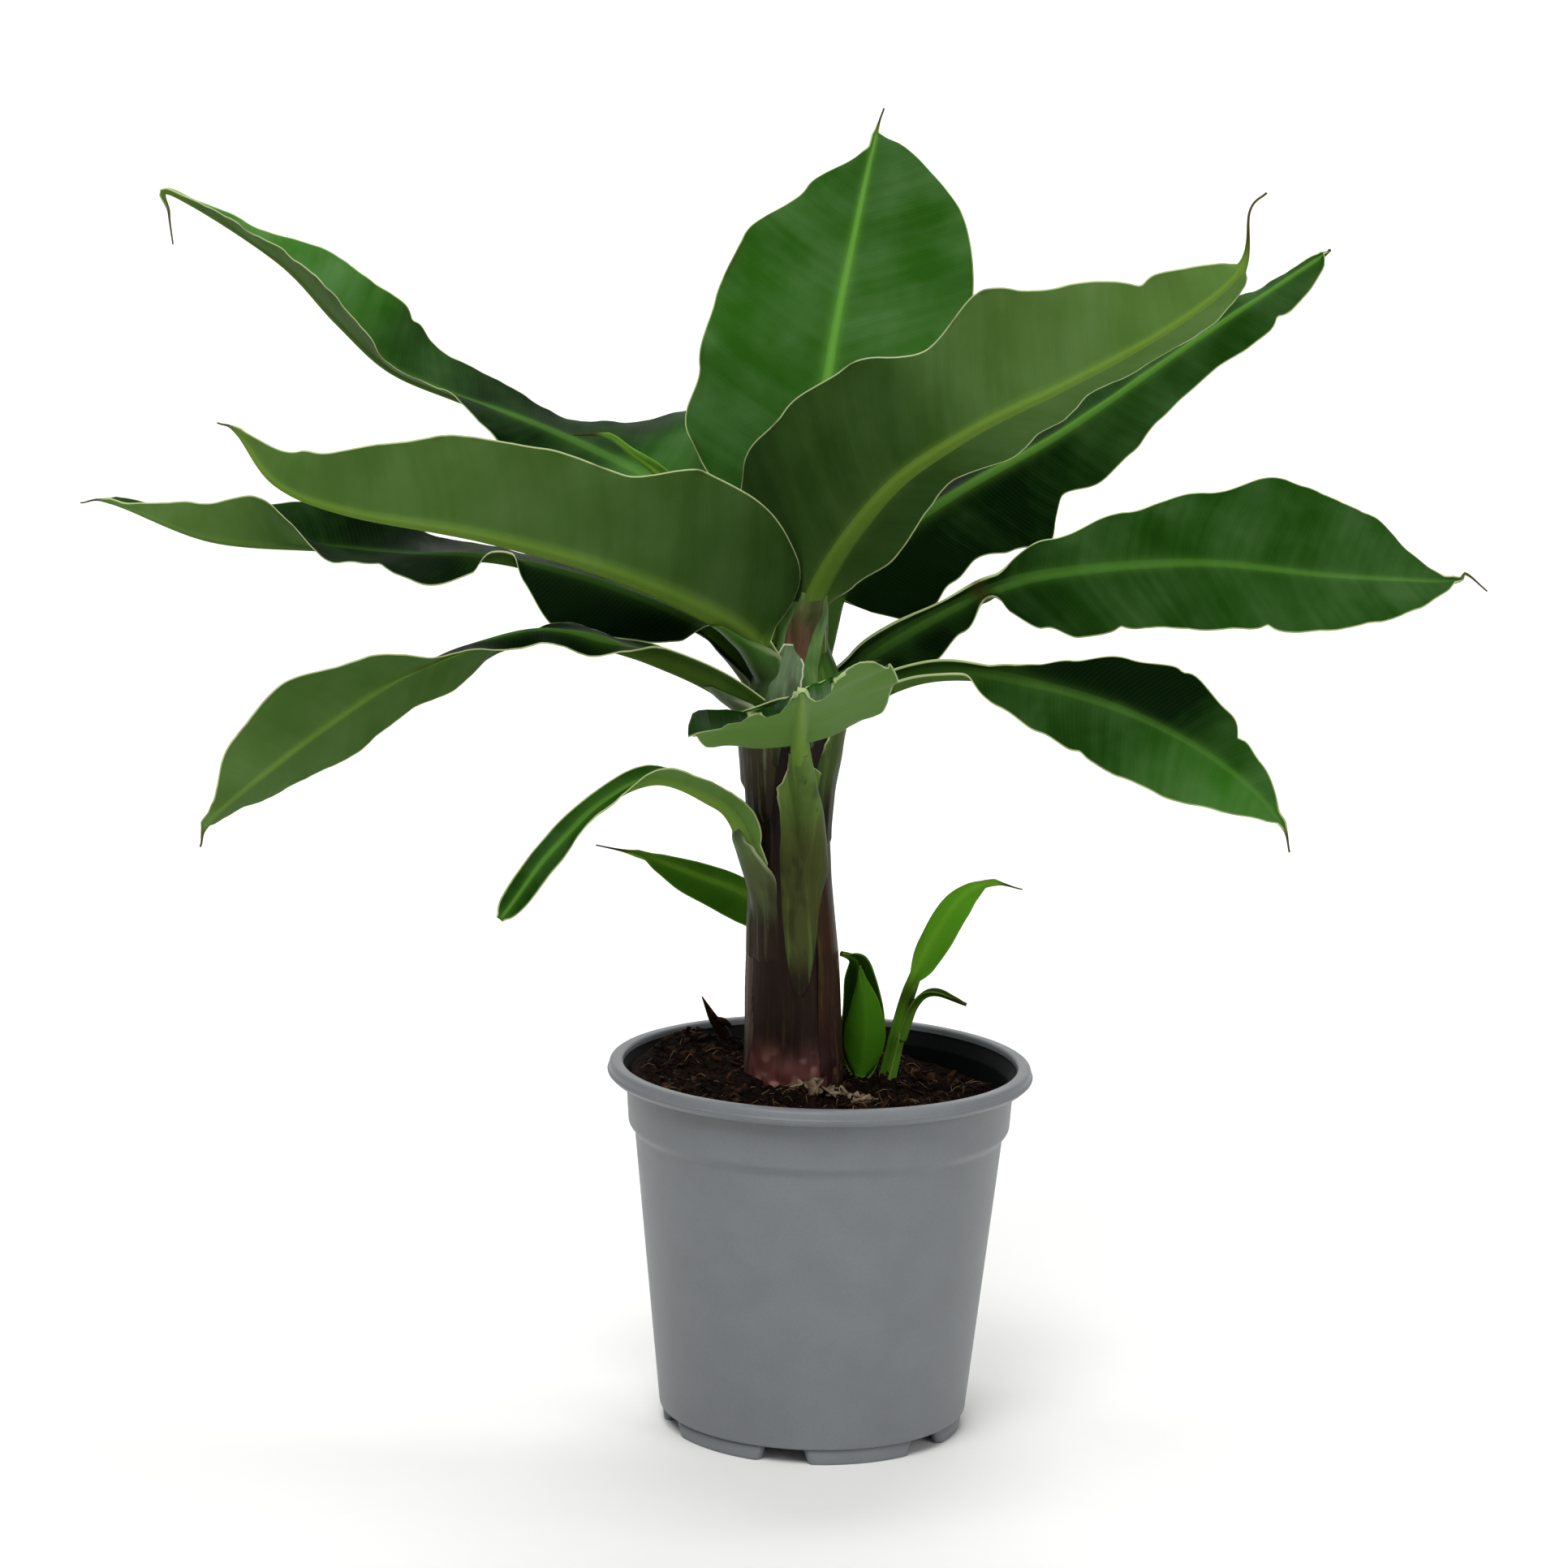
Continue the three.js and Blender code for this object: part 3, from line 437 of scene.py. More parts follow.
def piece(name, slot, points, faces, materials, slots=None, values=None, nodes=()):
    """A smooth-shaded mesh from points in mm, with its material slots and its own point attributes, placed
    on the part: it rides on the root body and stands for its CAD nodes. The slot argument is not used."""
    obj = smooth_object(name, points * MM, faces, materials)
    if slots is not None:
        obj.data.polygons.foreach_set("material_index", np.asarray(slots, np.int32))
    for title, value in (values or {}).items():
        attribute = obj.data.attributes.new(title, "FLOAT_VECTOR", "POINT")
        attribute.data.foreach_set("vector", np.asarray(value, np.float32).ravel())
    obj.data.update()
    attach(obj, "root")
    if nodes:
        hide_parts(*nodes)


def wire(node, inputs):
    """Sets each input of a node to a value, or links it from a socket."""
    for name, value in inputs.items():
        if isinstance(value, bpy.types.NodeSocket):
            node.id_data.links.new(value, node.inputs[name])
        else:
            node.inputs[name].default_value = value


def add(tree, kind, inputs, output=0, **settings):
    """Adds a shader node with its settings and links. Returns one output, or all of them for None."""
    node = tree.nodes.new("ShaderNode" + kind)
    for name, value in settings.items():
        setattr(node, name, value)
    wire(node, inputs)
    return node.outputs if output is None else node.outputs[output]


def new_material(name, **sockets):
    """An empty material with its Principled shader; the values that are the same all over go on it."""
    material = bpy.data.materials.new(name)
    material.use_nodes = True
    shader = material.node_tree.nodes["Principled BSDF"]
    wire(shader, {socket.replace("_", " "): value for socket, value in sockets.items()})
    return material, material.node_tree, shader


def leaf_lamina(name, deep, fresh, vein, margin, roughness, streak, wax_and_sheen):
    """Living leaf tissue with parallel side veins: streaks 7 mm apart and broader tracts 30 mm apart that
    follow the veins, clouds 36 mm wide, a soft yellow-green glow and a smooth ridge along the midrib, a
    thin pale line on the margin and brown dry spots, under a grain of 1.1 mm. Where the streaks, tracts and
    clouds run high a pale grey-green lies over the tone, partly the leaf's glaucous wax and partly painted
    sheen that stands for its satin highlights. The fine veins, under 1 mm apart on the leaf, are drawn
    2.3 mm apart so that they show."""
    material, tree, shader = new_material(name, Roughness=roughness, Specular_IOR_Level=0.02, IOR=1.4,
                                          Specular_Tint=(0.4, 0.5, 0.35, 1))
    blade = add(tree, "Attribute", {}, "Vector", attribute_name="blade")
    look = add(tree, "Attribute", {}, "Vector", attribute_name="look")
    vein_place, _, from_edge = add(tree, "SeparateXYZ", {0: blade}, None)
    tone, glow, dry = add(tree, "SeparateXYZ", {0: look}, None)
    place = add(tree, "TexCoord", {}, "Object")
    bands = add(tree, "Mapping", {0: blade, "Scale": (1 / 7, 1 / 110, 0)})
    streaks = add(tree, "TexNoise", {"Vector": bands, "Scale": 1, "Detail": 3, "Roughness": 0.5})
    wide = add(tree, "Mapping", {0: blade, "Scale": (1 / 30, 1 / 120, 0)})
    tracts = add(tree, "TexNoise", {"Vector": wide, "Scale": 1, "Detail": 2})
    cloud = add(tree, "TexNoise", {"Vector": place, "Scale": 28, "Detail": 3})
    swing = add(tree, "Math", {0: streaks, 1: 0.35, 2: cloud}, operation="MULTIPLY_ADD")
    drift = add(tree, "Math", {0: tracts, 1: 0.65, 2: swing}, operation="MULTIPLY_ADD")
    shade = add(tree, "MapRange", {"Value": drift, "From Min": 0.74, "From Max": 1.26, "To Min": -streak,
                                   "To Max": streak})
    level = add(tree, "Math", {0: tone, 1: shade}, operation="ADD", use_clamp=True)
    turn = add(tree, "Math", {0: vein_place, 1: 2 * math.pi / 2.3}, operation="MULTIPLY")
    fine = add(tree, "Math", {0: turn}, operation="SINE")
    lines = add(tree, "MapRange", {"Value": fine, "From Min": 0.3, "To Max": 0.012})
    # Pale grey-green 8b9a80 where the streaks, tracts and clouds run high: partly the leaf's glaucous wax,
    # partly painted sheen standing for satin highlights
    wax_sheen_mask = add(tree, "MapRange", {"Value": drift, "From Min": 0.85, "From Max": 1.3, "To Max": wax_and_sheen})
    wax_sheen_share = add(tree, "Math", {0: wax_sheen_mask, 1: level}, operation="MULTIPLY")
    rim = add(tree, "MapRange", {"Value": from_edge, "From Min": 0.35, "From Max": 0.75, "To Min": 0.8,
                                 "To Max": 0})
    skin = linear(deep)
    for share, colour in ((level, fresh), (lines, vein), (wax_sheen_share, "8b9a80"), (glow, vein), (rim, margin),
                          (dry, "33240f")):
        skin = add(tree, "Mix", {0: share, 6: skin, 7: linear(colour)}, 2, data_type="RGBA")
    gloss = add(tree, "MapRange", {"Value": drift, "From Min": 0.7, "From Max": 1.3,
                                   "To Min": roughness - 0.07, "To Max": roughness + 0.09})
    grain = add(tree, "TexNoise", {"Vector": place, "Scale": 900, "Detail": 2})
    relief = add(tree, "Math", {0: fine, 1: grain}, operation="ADD")
    bump = add(tree, "Bump", {"Height": relief, "Strength": 0.15, "Distance": 0.0001})
    wire(shader, {"Base Color": skin, "Roughness": gloss, "Normal": bump})
    return material


def leaf_surface(leaf, looks, spacing, thick, columns, seed):
    """The closed skin of a leaf.

    Along the midrib curve, each half of the blade is an arc from the midrib: it starts at the fold angle
    and turns on by the curl, and its length is the half-width, which is a key width times a blunt
    half-sine. Where there is no blade the halves fold up into the channel of the stalk. On top of that
    come ripples and a ruffle that grow towards the margin, broad quilting, and pleats along the side
    veins, which run from the midrib outwards and lean towards the tip. The upper skin is grooved over the
    midrib and the lower one has a half-round rib. The first value set holds the place along the side
    veins, the distance from the midrib and that from the margin; the second one the tone, the pale glow
    of midrib and stalk, and how dry the tip, the margin and the brown spots are."""
    rng = np.random.default_rng(seed)
    centre, length = smooth_curve(leaf["route"], MIDRIB_POINTS)
    s = np.linspace(0, 1, max(int(length / spacing), 24))[:, None]
    whole = np.linspace(0, 1, MIDRIB_POINTS)
    tangent = unit(between(s[:, 0], whole, np.gradient(centre, axis=0)))
    centre = between(s[:, 0], whole, centre)
    run = np.subtract(leaf["route"][-1], leaf["route"][0])
    bearing = math.radians(leaf["bearing"]) if "bearing" in leaf else math.atan2(run[1], run[0])
    side = np.array([math.sin(bearing), -math.cos(bearing), 0.0])
    side = unit(side - (tangent @ side)[:, None] * tangent)
    up = np.cross(side, tangent)
    start, end = leaf["blade"]
    t = np.clip((s - start) / (end - start), 0, 1)
    roll = np.radians(along(leaf["roll"], t))
    across = side * np.cos(roll) + up * np.sin(roll)
    normal = up * np.cos(roll) - side * np.sin(roll)
    lean = math.log(0.5) / math.log(leaf["peak"])
    full = np.clip(np.sin(np.pi * t ** lean), 0, None) ** leaf["blunt"]
    bare_tip = max(1 - end, TINY)
    tail = np.where(s > end, (1 - s) / bare_tip, 1.0)
    stalk = leaf["stalk"] * lerp(1, STALK_TAPER, s) * lerp(0.16, 1, tail ** 4)
    rib_deep = lerp(leaf["stalk"] * 0.95, 0.5, s ** 0.8) * tail
    halves = []
    for half, widths, folds in ((-1, "left", "fold_left"), (1, "right", "fold_right")):
        wide = full * along(leaf[widths], t)
        spread = ease(1.0, 2.6, wide / stalk)
        width = np.maximum(wide, stalk * lerp(1.25, 1, spread))
        for which, place, deep, reach in looks["nicks"]:
            if which == half:
                away = (s - lerp(start, end, place)) * length / reach
                width = np.maximum(width - deep * spread * np.exp(-np.abs(away) ** 1.4), stalk)
        rib = np.minimum(lerp(leaf["stalk"] * 0.8, 1.1, s ** 0.8) * np.maximum(tail, 0.3), width * 0.6)
        edge = np.minimum(0.9, width * 0.15)
        inner = rib * np.array([0, 0.25, 0.5, 0.75, 1])
        outer = rib + (width - edge - rib) * np.linspace(0, 1, columns)[1:]
        out = np.concatenate([inner, outer, width], 1)
        u = out / width
        fold = np.radians(lerp(CHANNEL_FOLD, along(leaf[folds], t), spread))
        curl = np.radians(lerp(CHANNEL_CURL, along(leaf["curl"], t), spread))
        curl = np.where(np.abs(curl) < 1e-3, 1e-3, curl)
        turn = fold + curl * u
        reach = width / curl * (np.sin(turn) - np.sin(fold))
        rise = width / curl * (np.cos(fold) - np.cos(turn))
        facing = (normal[:, None] * np.cos(turn)[..., None]
                  - half * across[:, None] * np.sin(turn)[..., None])
        middle = ease(0, 1, out / np.maximum(rib * 1.2, TINY))[..., None]
        facing = unit(lerp(normal[:, None], facing, middle))
        vein = s * length - VEIN_LEAN * out - VEIN_SWEEP * out * u + 1.6 * np.sin(s * length / 17)
        height, count, begin = leaf["wave"]
        ripple = height * u ** 2 * np.sin(2 * np.pi * (count * t + begin)) * full
        phase = rng.uniform(0, 6.28, 5)
        ruffle = (np.sin(vein / 6.1 + phase[0]) + 0.8 * np.sin(vein / 4.1 + phase[1])
                  + 0.5 * np.sin(vein / 2.4 + phase[2])) * ease(0.55, 1, u) * looks["ruffle"] * 0.55
        quilt = (np.sin(vein / 8.3 + phase[3]) + 0.7 * np.sin(vein / 5.2 + phase[4])) * u * (1 - u) * 1.5
        pleat = looks["pleat"] * 0.2 * np.sin(2 * np.pi * vein / PLEAT_SPACING)
        pleat = pleat * ease(rib, rib + 5, out)
        shift = ripple + (ruffle + quilt + pleat) * spread * ease(0, 0.06, t)
        point = (centre[:, None] + across[:, None] * (half * reach)[..., None]
                 + normal[:, None] * rise[..., None] + facing * shift[..., None])
        half_thick = lerp(stalk * 0.15 + 0.3, thick / 2, spread) * lerp(1, 0.45, u ** 3)
        dome = np.sqrt(np.clip(1 - (out / np.maximum(rib, TINY)) ** 2, 0, 1))
        groove = 0.09 * rib_deep * np.exp(-(out / np.maximum(rib * 0.6, TINY)) ** 2)
        above = point + facing * (half_thick - groove)[..., None]
        below = point - facing * (half_thick + rib_deep * dome)[..., None]
        glow = np.exp(-(out / lerp(5.5, 1.5, t ** 0.7)) ** 1.6) * 0.42 * looks["glow"] * spread
        glow = glow + looks["stalk"] * (1 - spread)
        ridge = ease(1.05, 0.65, out / np.maximum(rib, TINY))
        dry = ease(0.0, 0.45, (s - end) / bare_tip) * 0.9 * (end < 0.999)
        dry = dry + ease(0.955, 1, u) * ease(0.35, 0.9, lumps(vein, 0 * vein, 9, seed + half)) * 0.5 * spread
        for place, reach, strength in looks["brown"]:
            dry = dry + strength * np.exp(-((s - place) * length / reach) ** 2)
        halves.append([above, below, vein, half * out, width - out, glow, ridge, dry])
    left, right = halves
    joined = [np.concatenate([a[:, :0:-1], b], 1) for a, b in zip(left, right)]
    above, below, vein, out, edge, glow, ridge, dry = joined
    mid = above.shape[1] // 2
    above[:, mid] = (left[0][:, 0] + right[0][:, 0]) / 2
    below[:, mid] = (left[1][:, 0] + right[1][:, 0]) / 2
    blade = np.stack([vein, out, edge], -1).reshape(-1, 3)
    tones = []
    for key, strength in (("upper", 0.8), ("under", 1.0)):
        # the tone from the keys and the sides: partly the leaf's own green, partly painted shade and painted
        # light where the leaf or one half of it lies in shadow
        tone = along(np.atleast_1d(looks[key]), t + 0 * vein) + lerp(*looks["sides"], ease(-6, 6, out))
        shine = np.clip(glow * strength + ridge * 0.22 * min(looks["glow"], 1), 0, 1)
        tones.append(np.stack([tone, shine, np.clip(dry, 0, 1)], -1).reshape(-1, 3))
    return above, below, {"blade": np.vstack([blade, blade]), "look": np.vstack(tones)}


class PotSettings(bpy.types.PropertyGroup):
    """Sizes and colours of the nursery pot."""

    sides: bpy.props.IntProperty(
        name="Sides", description="Points round the pot", default=192, min=24, max=400)
    lip_round: bpy.props.FloatProperty(
        name="Lip rounding", description="Radius of the rolled lip's corners", default=0.0026,
        unit="LENGTH", subtype="DISTANCE")
    outside: bpy.props.FloatVectorProperty(
        name="Outside", description="Colour of the grey outer layer", subtype="COLOR", size=4,
        min=0, max=1, default=linear("73767a"))
    inside: bpy.props.FloatVectorProperty(
        name="Inside", description="Colour of the black inner layer", subtype="COLOR", size=4,
        min=0, max=1, default=linear("07090b"))


class PeatSettings(bpy.types.PropertyGroup):
    """Relief and litter of the peat."""

    relief: bpy.props.FloatProperty(
        name="Relief", description="Height of the clods", default=0.0024, unit="LENGTH",
        subtype="DISTANCE")
    crumbs: bpy.props.IntProperty(name="Crumbs", description="Loose crumbs of peat", default=2600, min=0)
    chips: bpy.props.IntProperty(name="Chips", description="Flat bark chips", default=260, min=0)
    fibres: bpy.props.IntProperty(name="Fibres", description="Thin root fibres", default=170, min=0)
    colour: bpy.props.FloatVectorProperty(
        name="Colour", description="Colour of moist peat", subtype="COLOR", size=4, min=0, max=1,
        default=linear("150b07"))


class PlantSettings(bpy.types.PropertyGroup):
    """Sizes of the leaves and the pseudostem."""

    blade_thickness: bpy.props.FloatProperty(
        name="Blade thickness", description="Thickness of a blade between its ribs", default=0.0010,
        unit="LENGTH", subtype="DISTANCE")
    station: bpy.props.FloatProperty(
        name="Station", description="Distance between two rows of points along a leaf",
        default=0.0017, unit="LENGTH", subtype="DISTANCE")
    sheath_lift: bpy.props.FloatProperty(
        name="Sheath lift", description="How far a sheath's edge stands off the stem",
        default=0.0013, unit="LENGTH", subtype="DISTANCE")


class StageSettings(bpy.types.PropertyGroup):
    """Floor, lights and camera."""

    lens: bpy.props.FloatProperty(
        name="Lens", description="Focal length on a 36 mm sensor", default=89.7, unit="CAMERA")
    key_power: bpy.props.FloatProperty(
        name="Key light", description="Power of the large light above and in front", default=50,
        unit="POWER")
    fill_power: bpy.props.FloatProperty(
        name="Fill light", description="Power of the light from the right", default=14, unit="POWER")
    back_power: bpy.props.FloatProperty(
        name="Backdrop light", description="Power of the light on the backdrop", default=90,
        unit="POWER")
    floor: bpy.props.FloatVectorProperty(
        name="Floor", description="Colour of the pale floor", subtype="COLOR", size=4, min=0, max=1,
        default=linear("f4f4f2"))


def wall_radius(z):
    """Radius of the outside of the pot's wall, without its lip, at a height: straight between the foot
    of the wall, the foot and the top of the step, and the lip."""
    radii = [BASE_RADIUS, BODY_TOP_RADIUS, COLLAR_RADIUS - COLLAR_TAPER, COLLAR_RADIUS]
    return np.interp(z, [FOOT_HEIGHT, STEP_FOOT, STEP_TOP, LIP_FOOT], radii)


def rounded(corners, radii, steps=7):
    """A profile with each corner replaced by an arc-like curve: a quadratic curve between two points at
    the corner's radius from it, on its two straight sides."""
    corners = np.asarray(corners, float)
    out = [corners[:1]]
    for before, here, after, radius in zip(corners[:-2], corners[1:-1], corners[2:], radii):
        if radius == 0:
            out.append(here[None])
            continue
        first, last = (here + unit(other - here) * radius for other in (before, after))
        f = np.linspace(0, 1, steps)[:, None]
        out.append((1 - f) ** 2 * first + 2 * f * (1 - f) * here + f ** 2 * last)
    out.append(corners[-1:])
    return np.vstack(out)


def lathe(profile, sides):
    """A closed surface of a profile of (radius, height) turned about the Z axis, from the axis below,
    round the outside, back to the axis above. Returns points and faces."""
    rings = profile[1:-1, :, None]
    points = turned(rings[:, 0], round_angles(sides)[None], rings[:, 1])
    ends = np.array([[0, 0, profile[0, 1]], [0, 0, profile[-1, 1]]])
    return np.vstack([points.reshape(-1, 3), ends]), capped_rings(len(rings), sides)


class BANANA_OT_pot(bpy.types.Operator):
    """The nursery pot: a turned, stepped wall with a rolled lip, on a ring of six feet."""

    bl_idname = "banana.pot"
    bl_label = "Nursery pot"

    def plastic(self, name, colour, roughness, speckle, shine):
        """Injection-moulded polypropylene: a satin skin with a faint mottle and fine specks of regrind
        in it. The specks, 0.2 mm on the pot, are drawn 0.7 mm wide."""
        material, tree, shader = new_material(name, Roughness=roughness, Specular_IOR_Level=shine,
                                              IOR=1.49)
        place = add(tree, "TexCoord", {}, "Object")
        mottle = add(tree, "TexNoise", {"Vector": place, "Scale": 45, "Detail": 4})
        specks = add(tree, "TexNoise", {"Vector": place, "Scale": 1400, "Detail": 2})
        both = add(tree, "Math", {0: mottle, 1: specks}, operation="ADD")
        level = add(tree, "MapRange", {"Value": both, "From Min": 0.75, "From Max": 1.25})
        dark, light = shaded(colour, 1 - speckle), shaded(colour, 1 + speckle)
        skin = add(tree, "Mix", {0: level, 6: dark, 7: light}, 2, data_type="RGBA")
        gloss = add(tree, "MapRange", {"Value": mottle, "From Min": 0.3, "From Max": 0.7,
                                       "To Min": roughness - 0.04, "To Max": roughness + 0.05})
        bump = add(tree, "Bump", {"Height": specks, "Strength": 0.3, "Distance": 0.0001})
        wire(shader, {"Base Color": skin, "Roughness": gloss, "Normal": bump})
        return material

    def foot(self, bearing, reach):
        """One foot: a rounded block bent round the pot; across it a section with a drafted outside, and
        along it a width that narrows towards the sole by the draft angle."""
        outer = BASE_RADIUS - FOOT_INSET
        section = rounded(
            [[outer - FOOT_DEPTH, reach], [outer - FOOT_DEPTH, 0], [outer - 1, 0], [outer, reach]],
            [1.2, 1.2], 6)
        share = np.linspace(-1, 1, 31)[:, None]
        bulge = np.sqrt(np.clip(1 - np.clip((np.abs(share) - 0.9) / 0.1, 0, 1) ** 2, 0.05, 1))
        mid = section.mean(0)
        radius = mid[0] + (section[:, 0] - mid[0]) * bulge
        z = np.maximum(mid[1] + (section[:, 1] - mid[1]) * (0.85 + 0.15 * bulge), 0)
        z = np.where(section[:, 1] >= reach, reach, z)
        spread = lerp(FOOT_ANGLE - FOOT_DRAFT_ANGLE, FOOT_ANGLE, z / reach) / 2
        points = turned(radius, np.radians(bearing + share * spread), z)
        rows, columns = points.shape[:2]
        faces = grid_quads(rows, columns, wrap=True)[:, ::-1].tolist()
        faces.append(list(range(columns)))
        faces.append([(rows - 1) * columns + k for k in range(columns)][::-1])
        return points.reshape(-1, 3), faces

    def execute(self, context):
        pot = context.scene.banana_pot
        lip = pot.lip_round / MM
        inner_lip = LIP_RADIUS - LIP_WIDTH
        step_radius = COLLAR_RADIUS - COLLAR_TAPER
        # From the axis under the floor up the outside, over the lip and down the inside: radius, height and
        # rounding of each corner
        outline = np.array([
            [0, FOOT_HEIGHT, 0], [BASE_RADIUS, FOOT_HEIGHT, 1.4], [BODY_TOP_RADIUS, STEP_FOOT, 1.6],
            [step_radius, STEP_TOP, 1.6], [COLLAR_RADIUS, LIP_FOOT + 0.6, 1.2],
            [LIP_RADIUS - 2.6, LIP_FOOT, 0.8], [LIP_RADIUS, LIP_FOOT + 2.4, 0.8],
            [LIP_RADIUS, LIP_FOOT + 3.4, 0.4], [LIP_RADIUS - 0.8, LIP_FOOT + 4, 0.4],
            [LIP_RADIUS - 0.9, POT_HEIGHT, lip], [inner_lip, POT_HEIGHT, 1.6],
            [inner_lip - 0.5, POT_HEIGHT - 4, 1.0], [COLLAR_RADIUS - WALL, LIP_FOOT - WALL, 0.8],
            [step_radius - WALL, STEP_TOP, 1], [BODY_TOP_RADIUS - WALL, STEP_FOOT, 1],
            [float(wall_radius(POT_FLOOR)) - WALL, POT_FLOOR, 2], [0, POT_FLOOR, 0],
        ])
        points, faces = lathe(rounded(outline[:, :2], outline[1:-1, 2]), pot.sides)
        x, y, z = points[[face[0] for face in faces]].T
        radial = np.hypot(x, y)
        inside = (radial < wall_radius(z) - WALL * 0.5) & (z > FOOT_HEIGHT + 0.5) & (z < LIP_FOOT)
        inside |= (radial < inner_lip - 0.2) & (z >= LIP_FOOT) & (z < POT_HEIGHT - 2)
        pieces = [(points, faces)]
        for number in range(FOOT_COUNT):
            bearing = FOOT_BEARING + 360 / FOOT_COUNT * number
            pieces.append(self.foot(bearing, FOOT_HEIGHT + FOOT_SINK))
        pad_top = FOOT_HEIGHT + PAD_SINK
        pad = rounded([[0, 0], [PAD_RADIUS, 0], [PAD_RADIUS + 2, pad_top], [0, pad_top]], [0.8, 0])
        pieces.append(lathe(pad, 48))
        points, every = join(pieces)
        slots = np.zeros(len(every))
        slots[:len(faces)] = inside
        grey = self.plastic("moulded grey polypropylene", pot.outside, 0.45, 0.07, 0.35)
        black = self.plastic("black polypropylene inner layer", pot.inside, 0.6, 0.25, 0.15)
        piece("nursery_pot", "pot_plastic", points, every, [grey, black], slots, nodes=["pot"])
        return {"FINISHED"}


def peat_height(x, y):
    """Height of the peat: a plane that falls to the right, and a round heap at the stem's foot."""
    away = np.hypot(x - STEM_SECTIONS[0][1], y - STEM_SECTIONS[0][2]) / MOUND_RADIUS
    return PEAT_LEVEL - PEAT_SLOPE * x + PEAT_MOUND * np.exp(-away ** 2)


def peat_relief(x, y, high):
    """Clods and crumbs on the peat: soft random relief of four sizes, 17, 8, 4 and 2 mm across, over a low
    bank at the back left."""
    clods, lesser, crumbs, grains = (lumps(x + 300, y + 300, cell, seed)
                                     for cell, seed in ((17, 1), (8, 2), (4, 3), (2, 4)))
    relief = clods * 0.9 + np.abs(lesser) * 0.9
    relief += crumbs * 0.42 + grains * 0.24
    return relief * high + 6 * np.exp(-((x + 62) ** 2 + (y - 48) ** 2) / 36 ** 2)


def scatter(template, faces, places, sizes, rng, flat=0.0):
    """Copies of a small template, each stretched to its own three sizes, turned at random (about the
    vertical only as flat nears 1) and moved to its place. Returns points and faces."""
    count = len(places)
    turns = rng.normal(size=(count, 4))
    turns[:, 1:3] *= 1 - flat
    w, x, y, z = unit(turns).T
    matrix = np.stack([
        np.stack([1 - 2 * (y * y + z * z), 2 * (x * y - z * w), 2 * (x * z + y * w)], -1),
        np.stack([2 * (x * y + z * w), 1 - 2 * (x * x + z * z), 2 * (y * z - x * w)], -1),
        np.stack([2 * (x * z - y * w), 2 * (y * z + x * w), 1 - 2 * (x * x + y * y)], -1),
    ], 1)
    rough = template[None] * (1 + rng.uniform(-0.25, 0.25, (count, len(template), 1)))
    points = np.einsum("nij,nvj->nvi", matrix, rough * sizes[:, None]) + places[:, None]
    starts = (np.arange(count) * len(template))[:, None, None]
    return points.reshape(-1, 3), (np.asarray(faces)[None] + starts).reshape(-1, len(faces[0]))


def random_sizes(rng, count, *ranges):
    """Random sizes, a column for each range."""
    return np.stack([rng.uniform(low, high, count) for low, high in ranges], -1)


def on_peat(rng, count, reach, high):
    """Random places on the peat inside a radius, outside the stem."""
    radius = reach * np.sqrt(rng.uniform(0, 1, count * 2))
    angle = rng.uniform(0, 2 * np.pi, count * 2)
    x, y = radius * np.cos(angle), radius * np.sin(angle)
    free = np.hypot(x - STEM_SECTIONS[0][1], y) > STEM_FREE
    x, y = x[free][:count], y[free][:count]
    return np.stack([x, y, peat_height(x, y) + peat_relief(x, y, high)], -1)


